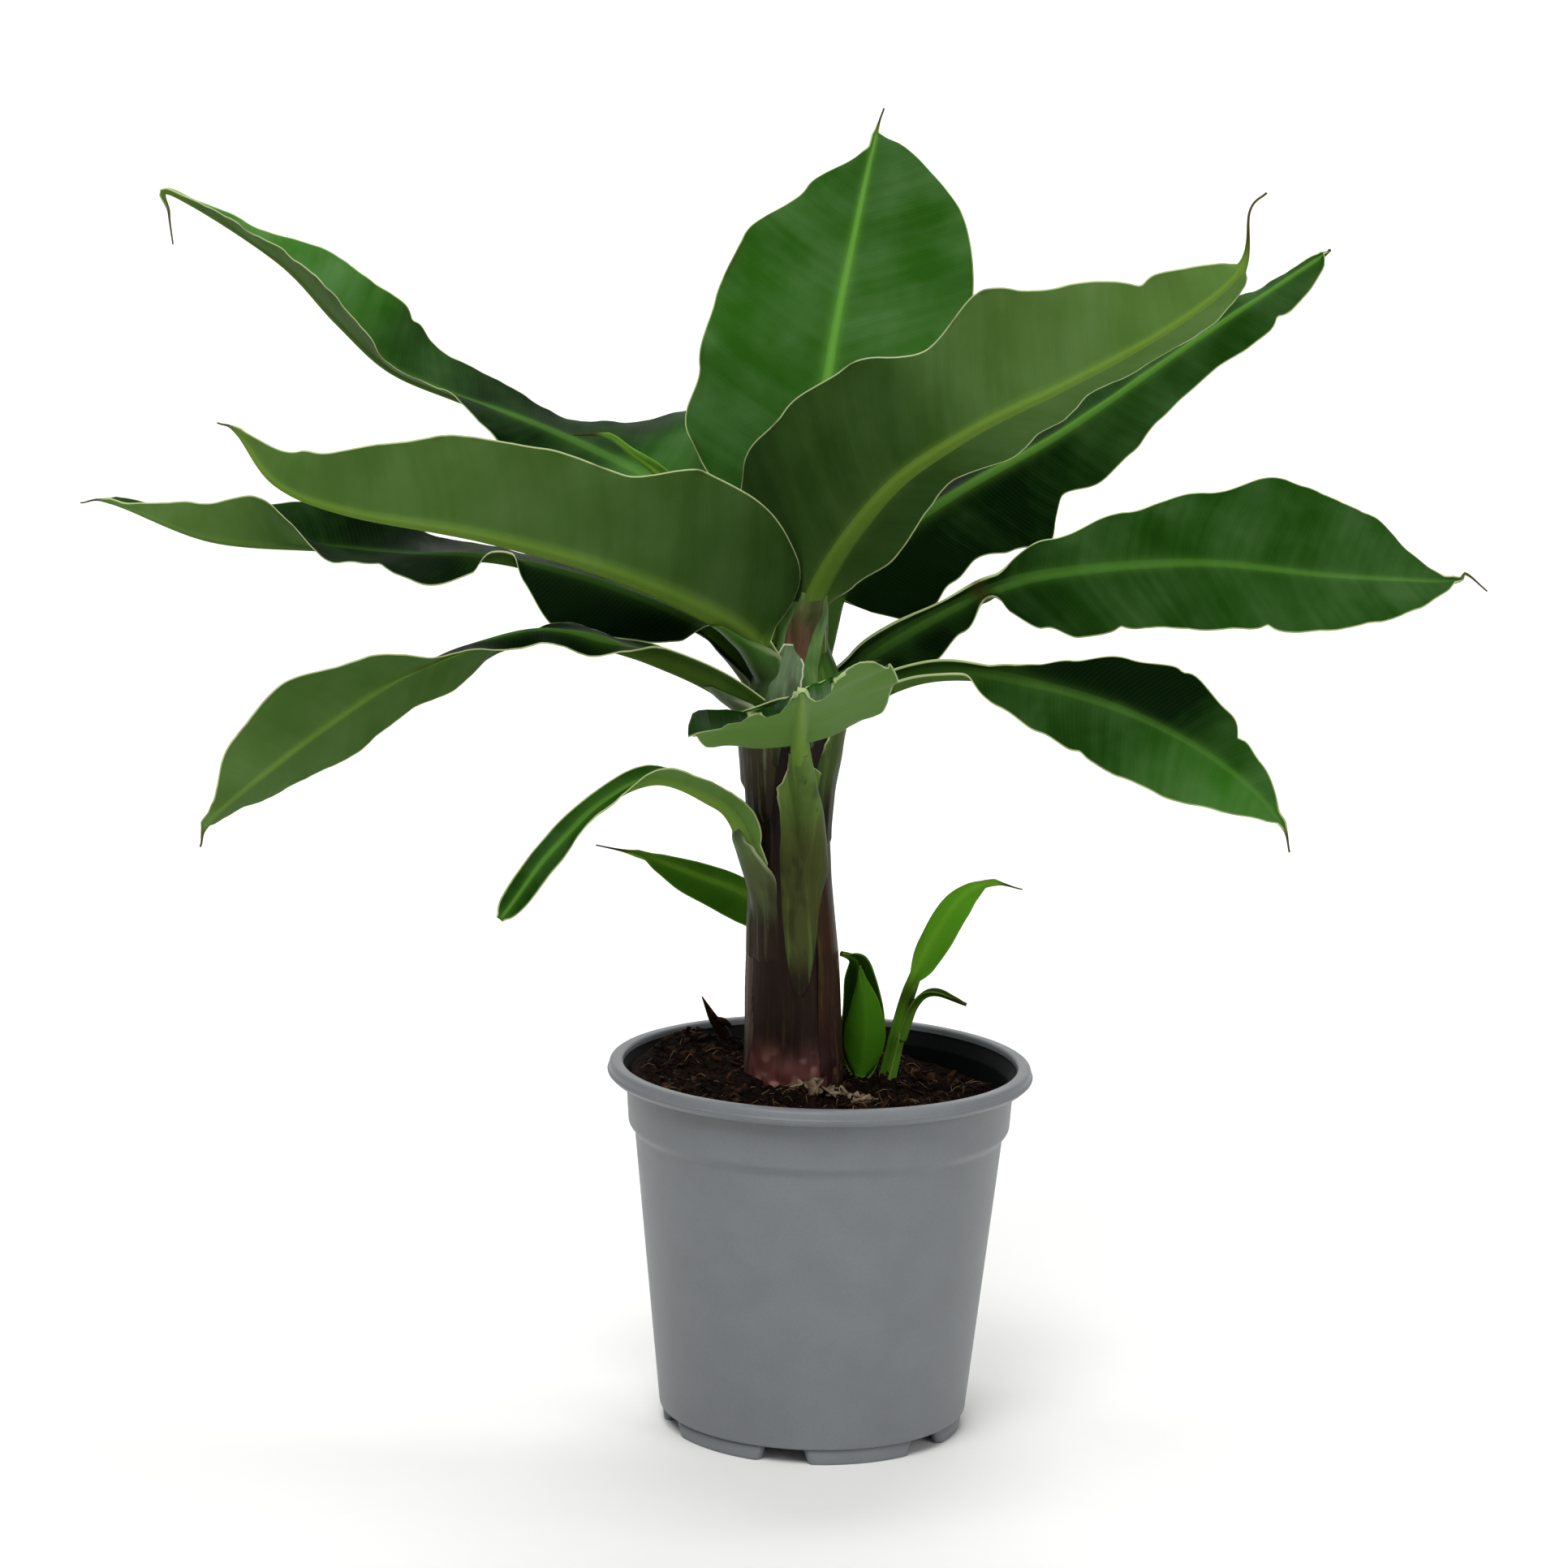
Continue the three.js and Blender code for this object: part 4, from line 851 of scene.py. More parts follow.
class BANANA_OT_peat(bpy.types.Operator):
    """The peat and what lies on it: crumbs, bark chips, root fibres and a dry stub."""

    bl_idname = "banana.peat"
    bl_label = "Peat and litter"

    def soil(self, name, dark, light, scale, rough):
        """Moist sphagnum peat, and what dries on it: matt crumbs a few mm wide, as the scale per metre
        says, a little paler and redder in drier patches 26 mm wide."""
        material, tree, shader = new_material(name, Roughness=rough, Specular_IOR_Level=0.08)
        place = add(tree, "TexCoord", {}, "Object")
        crumbs = add(tree, "TexNoise", {"Vector": place, "Scale": scale, "Detail": 6, "Roughness": 0.65})
        patches = add(tree, "TexNoise", {"Vector": place, "Scale": 38, "Detail": 2})
        both = add(tree, "Math", {0: crumbs, 1: patches}, operation="ADD")
        level = add(tree, "MapRange", {"Value": both, "From Min": 0.85, "From Max": 1.3})
        skin = add(tree, "Mix", {0: level, 6: dark, 7: light}, 2, data_type="RGBA")
        bump = add(tree, "Bump", {"Height": crumbs, "Strength": 0.9, "Distance": 0.0008})
        wire(shader, {"Base Color": skin, "Normal": bump})
        return material

    def surface(self, high):
        """The peat's body: three rings up the pot's wall, then rings on the surface from the wall to the
        middle. The relief fades out at the wall, where the surface rises by 1 mm."""
        sides = 300
        angle = round_angles(sides)
        bottom = POT_FLOOR + CLEARANCE
        inset = WALL + CLEARANCE
        lows = [turned(wall_radius(level) - inset, angle, level) for level in (bottom, STEP_FOOT, STEP_TOP)]
        rings = np.linspace(1, 0, 118)[:-1, None]
        near_wall = turned(BODY_TOP_RADIUS + 1, angle, 0)
        radius = rings * (wall_radius(peat_height(near_wall[:, 0], near_wall[:, 1])) - inset)
        x, y = radius * np.cos(angle), radius * np.sin(angle)
        relief = peat_relief(x, y, high) * ease(0, 0.05, 1 - rings)
        top = np.stack([x, y, peat_height(x, y) + relief + ease(0.9, 1, rings)], -1)
        ends = np.array([[0, 0, bottom], [0, 0, float(peat_height(0, 0))]])
        points = np.vstack([*lows, top.reshape(-1, 3), ends])
        return points, capped_rings(len(rings) + len(lows), sides)

    def threads(self, rng, count, high):
        """Root fibres: thin tubes bent at random, that rise a little from the peat."""
        threads = []
        for place in on_peat(rng, count, FIBRE_REACH, high):
            heading, bend = rng.uniform(0, 6.28), rng.uniform(-0.8, 0.8)
            long = rng.uniform(4, 15)
            steps = np.array([0, 0.5, 1])[:, None]
            path = place + long * steps * [math.cos(heading), math.sin(heading), 0]
            path[1] += [-bend * long * 0.3 * math.sin(heading), bend * long * 0.3 * math.cos(heading),
                        rng.uniform(0.6, 3.0)]
            path[2, 2] += rng.uniform(-1, 2.0)
            threads.append(tube(path, [0.28, 0.22, 0.12], 4, 7))
        return join(threads)

    def execute(self, context):
        peat = context.scene.banana_peat
        high = peat.relief / MM
        rng = np.random.default_rng(LITTER_SEED)
        moist = self.soil("moist brown peat", shaded(peat.colour, 0.28), shaded(peat.colour, 2.2), 420, 0.92)
        bark = self.soil("brown bark chips", linear("170c07"), linear("4a2d1b"), 300, 0.85)
        pale = self.soil("dry pale sheath scraps", linear("5b4a38"), linear("a5937a"), 260, 0.8)
        fibre = self.soil("dry root fibres", linear("4d3a26"), linear("8c7352"), 200, 0.8)
        piece("peat_surface", "peat", *self.surface(high), [moist], nodes=["peat"])

        corner = np.array([[1, 0, 0], [-1, 0, 0], [0, 1, 0], [0, -1, 0], [0, 0, 1], [0, 0, -1]], float)
        eight = [[0, 2, 4], [2, 1, 4], [1, 3, 4], [3, 0, 4], [2, 0, 5], [1, 2, 5], [3, 1, 5], [0, 3, 5]]
        places = on_peat(rng, peat.crumbs, CRUMB_REACH, high)
        sizes = rng.gamma(3.0, 0.42, (len(places), 1)) * rng.uniform(0.6, 1.3, (len(places), 3)) + 0.3
        crumbs = scatter(corner, eight, places, np.minimum(sizes, 4.2), rng)
        piece("peat_crumbs", "peat", *crumbs, [moist])

        box = np.array([[x, y, z] for z in (-1, 1) for x, y in ((-1, -1), (1, -1), (1, 1), (-1, 1))], float)
        six = [[0, 3, 2, 1], [4, 5, 6, 7], [0, 1, 5, 4], [1, 2, 6, 5], [2, 3, 7, 6], [3, 0, 4, 7]]
        places = on_peat(rng, peat.chips, CHIP_REACH, high) + [0, 0, 0.6]
        sizes = random_sizes(rng, len(places), (1.2, 4.8), (0.6, 1.9), (0.2, 0.6))
        piece("bark_chips", "peat", *scatter(box, six, places, sizes, rng, flat=0.75), [bark])

        # Pale scraps of dead sheath lie in a short row in front of the stem
        scraps = 34
        near = rng.uniform(0, 1, (scraps, 2))
        x = -14 + 42 * near[:, 0]
        y = -24 - 9 * near[:, 1] - 0.25 * (x - 4)
        places = np.stack([x, y, peat_height(x, y) + 2.2 + 1.6 * near[:, 1]], -1)
        sizes = random_sizes(rng, scraps, (1.8, 5.2), (0.9, 2.4), (0.2, 0.5))
        piece("sheath_scraps", "peat", *scatter(box, six, places, sizes, rng, flat=0.7), [pale])
        piece("root_fibres", "peat", *self.threads(rng, peat.fibres, high), [fibre])

        stub = join([
            tube([[-45, 57, 176], [-50, 54, 185], [-54, 52, 191], [-57, 50, 197], [-60, 49, 203]],
                 [3.2, 3.2, 2.8, 1.6, 0.3], 9, 18),
            tube([[-54, 52, 190], [-49, 51, 190], [-44, 50, 187]], [2.2, 1.8, 0.5], 7, 9),
        ])
        piece("dry_stub", "peat", *stub, [bark])
        return {"FINISHED"}


def running_mean(values, window):
    """Values smoothed by a bell-shaped window, with the end values held on."""
    kernel = np.hanning(window) / np.hanning(window).sum()
    return np.convolve(np.pad(values, window // 2, mode="edge"), kernel, "valid")


def stem_axis(z):
    """Centre and radius of the stem at a height: the sections of the source, eased by a short running
    mean so that no section shows as a kink."""
    sections = np.asarray(STEM_SECTIONS, float)
    fine = np.arange(sections[0, 0] - 6, sections[-1, 0] + 6, 0.5)
    return [np.interp(z, fine, running_mean(np.interp(fine, sections[:, 0], column), 27))
            for column in sections[:, 1:].T]


# Overlapping sheath edges of the stem: bearing of the edge at the foot and at the top in degrees, -90
# faces the front; the side that the sheath covers; its lift as a share of the sheath lift; its top.
SHEATH_EDGES = [
    [-150, -160, -1, 0.7, 262], [-40, -30, 1, 0.9, 345], [40, 28, -1, 0.8, 360], [118, 104, 1, 0.9, 350],
    [176, 165, -1, 0.8, 372], [-112, -122, -1, 0.5, 352], [72, 78, 1, 0.5, 372],
]


def stem_relief(angle, z, lift):
    """How far the stem's skin stands off its plain radius: each sheath ends in a thin edge that runs down
    the stem, stands off it by the lift and sinks back over 14 mm; between them shallow ribs run along
    the fibres, and the foot has a knobbly swelling at the front."""
    degrees = np.degrees(angle)
    relief = 0.22 * lumps(degrees / 7.5 + 40, z / 60 + 9, 1, 11)
    relief = relief + 0.35 * lumps(degrees / 30 + 8, z / 45, 1, 12)
    share = (z - STEM_SECTIONS[0][0]) / (STEM_SECTIONS[-1][0] - STEM_SECTIONS[0][0])
    for low, high, side, strength, top in SHEATH_EDGES:
        wander = 3 * np.sin(z / 23 + low) + 1.2 * np.sin(z / 7 + high)
        away = (degrees - lerp(low, high, share) - wander + 180) % 360 - 180
        away = side * away * 0.38
        step = ease(-0.5, 0.5, away) * np.exp(-np.maximum(away, 0) / 13)
        relief = relief + step * strength * lift * ease(top, top - 12, z)
    front = ease(-0.2, 1, np.sin(-angle))
    swell = 1.5 * np.exp(-((z - 180) / 11) ** 2) * (1 + 0.7 * lumps(degrees / 12 + 30, z / 7, 1, 13))
    return relief + swell * front


# Sheaths that clasp the stem. rows: height, bearings of the left and right edge, how far the edges stand
# off the stem, and the girth: the radius of its round back over the stalk. leaf: the leaf whose stalk
# grows out of it, where it isn't the one of its name. skin: its colours, rim: how pale its free edges
# are, lift: how far its middle stands off the stem.
SHEATHS = {
    # The tan strip on the stem's left side: partly a paler dry sheath, partly painted highlight of the light
    # along that edge
    "left_highlight_strip": {"skin": "tan", "rim": 0, "lift": 0.5, "rows": [[164, -202, -156, -0.5, 6],
        [200, -202, -150, 0.1, 6], [246, -202, -149, 0.2, 6], [266, -202, -152, -0.5, 6]]},
    "right_strip": {"skin": "redbrown", "rim": 0, "lift": 0.5, "rows": [[164, -60, 14, -0.8, 6],
        [200, -58, 14, 0, 6], [240, -54, 10, 0.2, 6], [275, -47, 4, 0.2, 6], [300, -36, 2, 0.2, 6],
        [318, -28, 0, -0.5, 6]]},
    "back_strip": {"skin": "redbrown", "rim": 0, "lift": 0.7, "rows": [[164, 48, 126, -0.5, 6],
        [200, 40, 134, 0.3, 6], [280, 44, 126, 0.4, 6], [338, 50, 118, -0.5, 6]]},
    "leaf_top": {"skin": "olive", "rim": 0.3, "lift": 0.6, "rows": [[348, 60, 150, -0.6, 8],
        [372, 50, 146, 0.3, 13], [392, 46, 120, 0.6, 13], [410, 52, 100, 0.6, 10], [426, 66, 90, 0.4, 8],
        [440, 73, 84, 0, 6]]},
    "leaf_back": {"skin": "olive", "rim": 0.3, "lift": 1.1, "rows": [[330, 50, 118, -0.6, 8],
        [350, 44, 124, 0.2, 12], [372, 46, 122, 0.6, 13], [390, 60, 110, 0.6, 11], [402, 70, 100, 0.4, 8],
        [412, 78, 90, 0, 6]]},
    "leaf_upper_left": {"skin": "olive", "rim": 0.3, "lift": 0.7, "rows": [[342, 110, 176, -0.6, 8],
        [362, 104, 180, 0.2, 12], [384, 108, 172, 0.6, 12], [402, 120, 158, 0.6, 9],
        [418, 129, 149, 0.4, 7.5], [430, 135, 146, 0, 6]]},
    "leaf_upper_right": {"skin": "bright", "rim": 0.5, "lift": 0.7, "rows": [[344, -62, 60, -0.6, 8],
        [362, -66, 70, 0.3, 12], [382, -66, 78, 0.6, 14], [398, -58, 76, 0.8, 13], [410, -8, 74, 0.6, 9],
        [418, 40, 66, 0.3, 7], [424, 47, 61, 0, 6]]},
    "leaf_front_right": {"skin": "pale", "rim": 0.3, "lift": 0.9, "rows": [[338, -120, -60, -0.6, 8],
        [356, -132, -58, 0.2, 12], [376, -138, -60, 0.5, 14], [394, -140, -58, 0.6, 15],
        [403, -132, -50, 0.6, 13], [410, -114, -50, 0.4, 10], [417, -86, -56, 0.1, 8]]},
    "russet_stalk": {"leaf": "leaf_front_right", "skin": "russet", "rim": 0, "lift": 1.5,
        "rows": [[350, -104, -80, -0.5, 8], [376, -122, -82, 0.4, 14], [388, -126, -80, 0.6, 15],
        [398, -120, -74, 0.5, 15], [407, -104, -66, 0.3, 13], [414, -88, -66, 0, 10],
        [417, -80, -68, -0.6, 9]]},
    "small_pale_sheath": {"skin": "greygreen", "rim": 0.9, "lift": 2.4, "rows": [[350, -122, -94, -0.5, 8],
        [366, -128, -87, 0.8, 8], [380, -129, -82, 1.8, 8], [388, -125, -84, 2.6, 8],
        [391.5, -117, -91, 3, 8]]},
    "leaf_front_left": {"skin": "leafgreen", "rim": 0.6, "lift": 1.7, "rows": [[328, -172, -102, -0.6, 8],
        [346, -176, -100, 0.2, 12], [362, -176, -104, 0.8, 14], [376, -172, -110, 1, 13],
        [388, -162, -120, 0.8, 10], [396, -152, -131, 0.4, 7.5], [402, -147, -136, 0, 6]]},
    "leaf_left": {"skin": "olive", "rim": 0.6, "lift": 1.8, "rows": [[316, 154, 206, -0.6, 8],
        [336, 150, 210, 0.2, 12], [354, 150, 208, 0.8, 12], [370, 158, 198, 0.8, 9],
        [384, 167, 184, 0.4, 7.5], [394, 169, 178, 0, 6]]},
    "leaf_lower_left": {"skin": "greygreen", "rim": 0.9, "lift": 2.2, "rows": [[304, -160, -114, -0.6, 8],
        [322, -166, -108, 0.1, 11], [342, -168, -106, 0.3, 11], [349, -168, -110, 1, 11],
        [355, -164, -117, 1, 9], [365, -153, -131, 0.6, 7.5], [373, -148, -138, 0, 6.2]]},
    "leaf_right": {"skin": "bright", "rim": 0.4, "lift": 1.3, "rows": [[296, -10, 30, -0.6, 8],
        [320, -14, 38, 0.2, 11], [342, -14, 46, 0.8, 11], [358, -4, 46, 0.8, 9], [371, 10, 40, 0.5, 7.5],
        [381, 19, 34, 0, 6.2]]},
    "leaf_lower_right": {"skin": "bright", "rim": 0.7, "lift": 2, "rows": [[290, -46, -8, -0.6, 8],
        [312, -54, -2, 0.1, 10], [334, -54, 2, 0.3, 10], [349, -45, 0, 1, 8.5], [361, -32, -9, 0.6, 7],
        [370, -27, -17, 0, 5.8]]},
    "leaf_small_left": {"skin": "grey", "rim": 0.75, "lift": 1, "rows": [[232, -202, -104, -0.6, 8],
        [250, -202, -104, 0, 9], [264, -202, -106, 0.1, 11], [275, -199, -109, 0.6, 13],
        [284, -192, -117, 0.8, 12], [292, -178, -124, 0.8, 10], [299, -160, -130, 0.6, 8],
        [305, -145, -135, 0, 6.4]]},
    "leaf_front": {"skin": "front", "rim": 0.9, "lift": 1.2, "rows": [[216, -87, -77, -0.8, 6],
        [226, -92, -68, -0.3, 6], [237, -97, -60, -0.1, 6], [247, -100, -53, -0.1, 6.5],
        [257, -103, -47, -0.1, 8], [268, -105, -42, 0, 9.5], [281, -106, -38, 0.1, 10.5],
        [290, -106, -36, 0.2, 10.5], [300, -103, -33, 0.3, 10], [311, -102, -28, 0.6, 8.5],
        [317, -104, -28, 1, 7.5], [322, -106, -34, 1.4, 6.4], [326, -98, -42, 1.5, 5.6],
        [331, -94, -55, 1.2, 5], [335, -92, -68, 0.6, 4.6], [342, -92, -78, 0, 4.4]]},
}

# Colours of the sheaths, by skin: the material's name, its three tones from the foot upwards and the four
# heights between which they change, the colour and strength of its streaks, the colour of its rim, and
# its roughness
SKINS = {
    # The stem's rim colour, pale pink, paints the patches on its foot: old leaf scars and painted highlight
    "stem": ["brown and purple leaf sheaths", ["5c3431", "21140e", "110a06"], [176, 202, 280, 318],
             "47361f", 0.5, "b58a80", 0.5],
    "front": ["green front sheath", ["241a10", "444a1f", "587430"], [224, 246, 288, 326],
              "6f8844", 0.4, "a9ac84", 0.5],
    "grey": ["grey-green side sheath", ["2a1b14", "4a5230", "566f3c"], [252, 270, 276, 300],
             "6c8052", 0.35, "c2c29c", 0.5],
    # The tan skin of that strip: partly the dry sheath's colour, partly painted highlight
    "tan": ["tan sheath edge", ["3a2824", "544438", "44382a"], [182, 206, 240, 266],
            "7a6c58", 0.5, "8a7a64", 0.55],
    "redbrown": ["red-brown dry sheath", ["2c1512", "36200f", "40361a"], [190, 226, 250, 312],
                 "6a5a34", 0.45, "8a7a64", 0.5],
    "olive": ["dark olive stalk sheaths", ["1a120b", "26361a", "2f4a1c"], [318, 346, 352, 392],
              "486030", 0.4, "a8b088", 0.5],
    "bright": ["green stalk sheaths", ["201a0e", "36461a", "335416"], [306, 330, 346, 384],
               "5c7a2c", 0.4, "b4bf84", 0.5],
    "leafgreen": ["green front stalk sheath", ["201a0e", "2f4420", "3f6a20"], [330, 352, 372, 398],
                  "55782f", 0.35, "b4bf94", 0.5],
    "russet": ["red-brown stalk sheath", ["241812", "5c4432", "5a6638"], [344, 366, 394, 416],
               "6a5a3a", 0.45, "7a7450", 0.5],
    "pale": ["pale green stalk sheath", ["1c140d", "456530", "65884a"], [346, 372, 376, 400],
             "7a9458", 0.35, "b4bf84", 0.5],
    "greygreen": ["grey-green stalk sheaths", ["1e150d", "332f1c", "566c4a"], [312, 338, 350, 378],
                  "8a9a78", 0.35, "d4d6b8", 0.5],
}


def stalk_back(leaf, z):
    """Distance and bearing, from the stem's axis, of the outer side of a leaf's stalk at given heights."""
    centre, _ = smooth_curve(leaf["route"], MIDRIB_POINTS)
    tangent = unit(np.gradient(centre, axis=0))
    x0, y0, _ = stem_axis(centre[:, 2])
    out = np.stack([centre[:, 0] - x0, centre[:, 1] - y0, 0 * x0], -1)
    out = unit(out - np.sum(out * tangent, 1)[:, None] * tangent)
    deep = 1.1 * leaf["stalk"] * lerp(1, STALK_TAPER, np.linspace(0, 1, MIDRIB_POINTS)) + 0.3
    under = centre + out * deep[:, None]
    lower = MIDRIB_POINTS // 2
    under = under[:lower][np.diff(under[:lower + 1, 2]) > 0]
    x0, y0, _ = stem_axis(under[:, 2])
    away = np.hypot(under[:, 0] - x0, under[:, 1] - y0)
    heading = np.unwrap(np.arctan2(under[:, 1] - y0, under[:, 0] - x0))
    below = np.maximum(under[0, 2] - z, 0)
    return np.interp(z, under[:, 2], away) - 0.3 * below, np.interp(z, under[:, 2], heading)


def clasping(sheath, leaf, lift, seed):
    """The closed skin of a sheath that clasps the stem.

    At each height it runs from its left to its right bearing, standing off the stem's relief by its lift
    in the middle and by the edge value at the edges. Where its leaf's stalk grows out, it has a round
    back of the row's girth over the stalk's underside, joined to the rest by a soft maximum. Its foot,
    and its top where it has a stalk, sink in by 2 mm, and its free edges are a little ragged."""
    table = np.asarray(sheath["rows"], float)
    foot, top = table[0, 0], table[-1, 0]
    z = np.linspace(foot, top, int((top - foot) / 0.9))
    left, right, edge, girth = (running_mean(np.interp(z, table[:, 0], column), 9)[:, None]
                                for column in table[:, 1:].T)
    z = z[:, None]
    torn = ease(0.3, 1, edge) * 1.6
    left = left + torn * lumps(z / 2.6, 0 * z + 3, 1, seed)
    right = right + torn * lumps(z / 2.6, 0 * z + 9, 1, seed)
    u = np.linspace(-1, 1, 47)[None]
    angle = np.radians(lerp(left, right, (u + 1) / 2))
    x0, y0, radius = stem_axis(z)
    away = radius + stem_relief(angle, z, lift) + lerp(sheath["lift"], edge, np.abs(u) ** 5)
    sink = 2 * ease(foot + 6, foot, z)
    if leaf:
        back, heading = stalk_back(leaf, z)
        back = back + sheath["lift"] * 0.4
        aside = back * np.sin(angle - heading)
        back = (back - girth + np.sqrt(np.maximum(girth ** 2 - aside ** 2, 0))
                - 2.5 * np.maximum(np.abs(aside) - girth, 0))
        near = np.maximum(2.5 - np.abs(away - back), 0) / 2.5
        away = np.maximum(away, back) + near ** 2 * 0.62
        sink = sink + 3.5 * ease(top - 10, top, z)
    away = away - sink
    across = (right - left) / 2 * np.pi / 180 * radius
    above = turned(away, angle, z, x0, y0)
    below = turned(away - lerp(1.3, 0.55, u ** 4), angle, z, x0, y0)
    rim = ease(0.9, 0.25, (1 - np.abs(u)) * across) * ease(0.4, 1.0, edge)
    if not leaf:
        rim = np.maximum(rim, ease(top - 0.9, top, z) * ease(0.4, 1.0, edge))
    fibre = np.stack([angle * FIBRE_RADIUS, z + 0 * angle, rim * sheath["rim"]], -1).reshape(-1, 3)
    return above, below, {"fibre": np.vstack([fibre, fibre])}


class BANANA_OT_pseudostem(bpy.types.Operator):
    """The pseudostem: overlapping leaf sheaths, brown and purple over green, with its front sheath."""

    bl_idname = "banana.pseudostem"
    bl_label = "Pseudostem"

    def sheath(self, name, tones, heights, streak, pale, rim, roughness):
        """Fleshy leaf sheath with a waxy skin: its colour goes upwards through three tones between four
        heights in mm, under long streaks that follow the fibres, dark patches, short black cracks and dry
        pale scuffs; on the stem's foot the pale scuffs are pink patches, partly old leaf scars and partly
        painted highlight on its knobs. The fibres, 0.4 mm apart, are drawn 1.5 mm apart."""
        material, tree, shader = new_material(name, Roughness=roughness, Specular_IOR_Level=0.12)
        fibre = add(tree, "Attribute", {}, "Vector", attribute_name="fibre")
        _, height, scuff_and_highlight = add(tree, "SeparateXYZ", {0: fibre}, None)
        noises = []
        for across, down, detail in ((3, 55, 5), (16, 42, 3), (1.5, 70, 2), (1.3, 14, 3)):
            stretched = add(tree, "Mapping", {0: fibre, "Scale": (1 / across, 1 / down, 1)})
            noises.append(add(tree, "TexNoise", {"Vector": stretched, "Scale": 1, "Detail": detail,
                                                 "Roughness": 0.6}))
        streaks, patches, fine, cracks = noises
        # The patches, 0.5 on the average, move the changes of colour up and down by up to 13 mm
        sway = 26.0
        wander = add(tree, "Math", {0: patches, 1: sway, 2: height}, operation="MULTIPLY_ADD")
        low, middle, high, end = (level + sway / 2 for level in heights)
        skin = linear(tones[0])
        for value, start, stop, most, colour in (
            (wander, low, middle, 1, tones[1]), (wander, high, end, 1, tones[2]),
            (patches, 0.46, 0.68, 0.6, "150b09"), (streaks, 0.5, 0.74, pale, streak),
            (cracks, 0.68, 0.74, 0.8, "0b0705"),
        ):
            share = add(tree, "MapRange", {"Value": value, "From Min": start, "From Max": stop,
                                           "To Max": most}, interpolation_type="SMOOTHSTEP")
            skin = add(tree, "Mix", {0: share, 6: skin, 7: linear(colour)}, 2, data_type="RGBA")
        skin = add(tree, "Mix", {0: scuff_and_highlight, 6: skin, 7: linear(rim)}, 2, data_type="RGBA")
        relief = add(tree, "Math", {0: fine, 1: streaks}, operation="ADD")
        bump = add(tree, "Bump", {"Height": relief, "Strength": 0.5, "Distance": 0.0004})
        gloss = add(tree, "MapRange", {"Value": streaks, "From Min": 0.3, "From Max": 0.7,
                                       "To Min": roughness - 0.08, "To Max": roughness + 0.14})
        wire(shader, {"Base Color": skin, "Roughness": gloss, "Normal": bump})
        return material

    def execute(self, context):
        lift = context.scene.banana_plant.sheath_lift / MM
        skins = {key: self.sheath(*row) for key, row in SKINS.items()}
        rows, sides = 250, 288
        bottom, top = STEM_SECTIONS[0], STEM_SECTIONS[-1]
        z = np.linspace(bottom[0], top[0], rows)[:, None]
        angle = round_angles(sides)[None]
        x0, y0, radius = stem_axis(z)
        points = turned(radius + stem_relief(angle, z, lift), angle, z, x0, y0)
        ends = np.array([[bottom[1], bottom[2], bottom[0]], [top[1], top[2], top[0] + STEM_CAP]])
        # Pale pink patches on the knobs at the front of the foot: partly old leaf scars, partly painted
        # highlight where the front light falls on the knobs
        wrapped = (angle + np.pi / 2 + np.pi) % (2 * np.pi) - np.pi
        scar_and_highlight = (ease(0.1, 0.75, lumps(wrapped * 5 + 20, z / 4, 1, 14)) * np.exp(-((z - 178) / 9) ** 2)
                * np.exp(-(wrapped / 0.9) ** 2) * 0.85)
        fibre = np.stack([FIBRE_RADIUS * wrapped + 0 * z, z + 0 * angle, scar_and_highlight], -1).reshape(-1, 3)
        fibre = np.vstack([fibre, [[0, bottom[0], 0], [0, top[0], 0]]])
        piece("pseudostem_sheaths", "pseudostem", np.vstack([points.reshape(-1, 3), ends]),
              capped_rings(rows, sides), [skins["stem"]], values={"fibre": fibre}, nodes=["pseudostem"])
        for number, (name, sheath) in enumerate(SHEATHS.items()):
            leaf = LEAVES.get(sheath.get("leaf", name))
            above, below, values = clasping(sheath, leaf, lift, SHEATH_SEED + number)
            points, faces, _ = closed_skin(above, below)
            title = name + ("_sheath" if name in LEAVES else "")
            piece(title, "pseudostem", points, faces, [skins[sheath["skin"]]], values=values)
        return {"FINISHED"}


# The front leaf's upper margin, rolled over towards the front: its free edge and its bend, in mm.
FRONT_FOLD = [
    [-65, -127, 362, -65, -129, 368], [-61, -128, 364, -63, -140, 375], [-58, -129, 365, -60, -150, 378],
    [-54, -130, 366, -56, -161, 380], [-50, -131, 367, -51, -161, 380], [-47, -137, 370, -47, -159, 380],
    [-41, -136, 371, -42, -157, 379], [-36, -151, 377, -38, -154, 378], [-33, -156, 378, -33, -158, 380],
    [-30, -140, 374, -29, -163, 382], [-26, -139, 375, -26, -168, 384], [-23, -145, 377, -24, -179, 387],
    [-21, -166, 383, -21, -185, 389], [-18, -193, 391, -18, -198, 393], [-16, -205, 395, -15, -203, 396],
    [-13, -205, 395, -13, -203, 396], [-11, -181, 389, -12, -199, 396], [-8, -157, 384, -9, -198, 398],
    [-5, -151, 384, -6, -197, 398], [-1, -161, 389, -2, -193, 400], [0, -193, 398, 1, -191, 401],
    [5, -190, 401, 5, -188, 402],
]


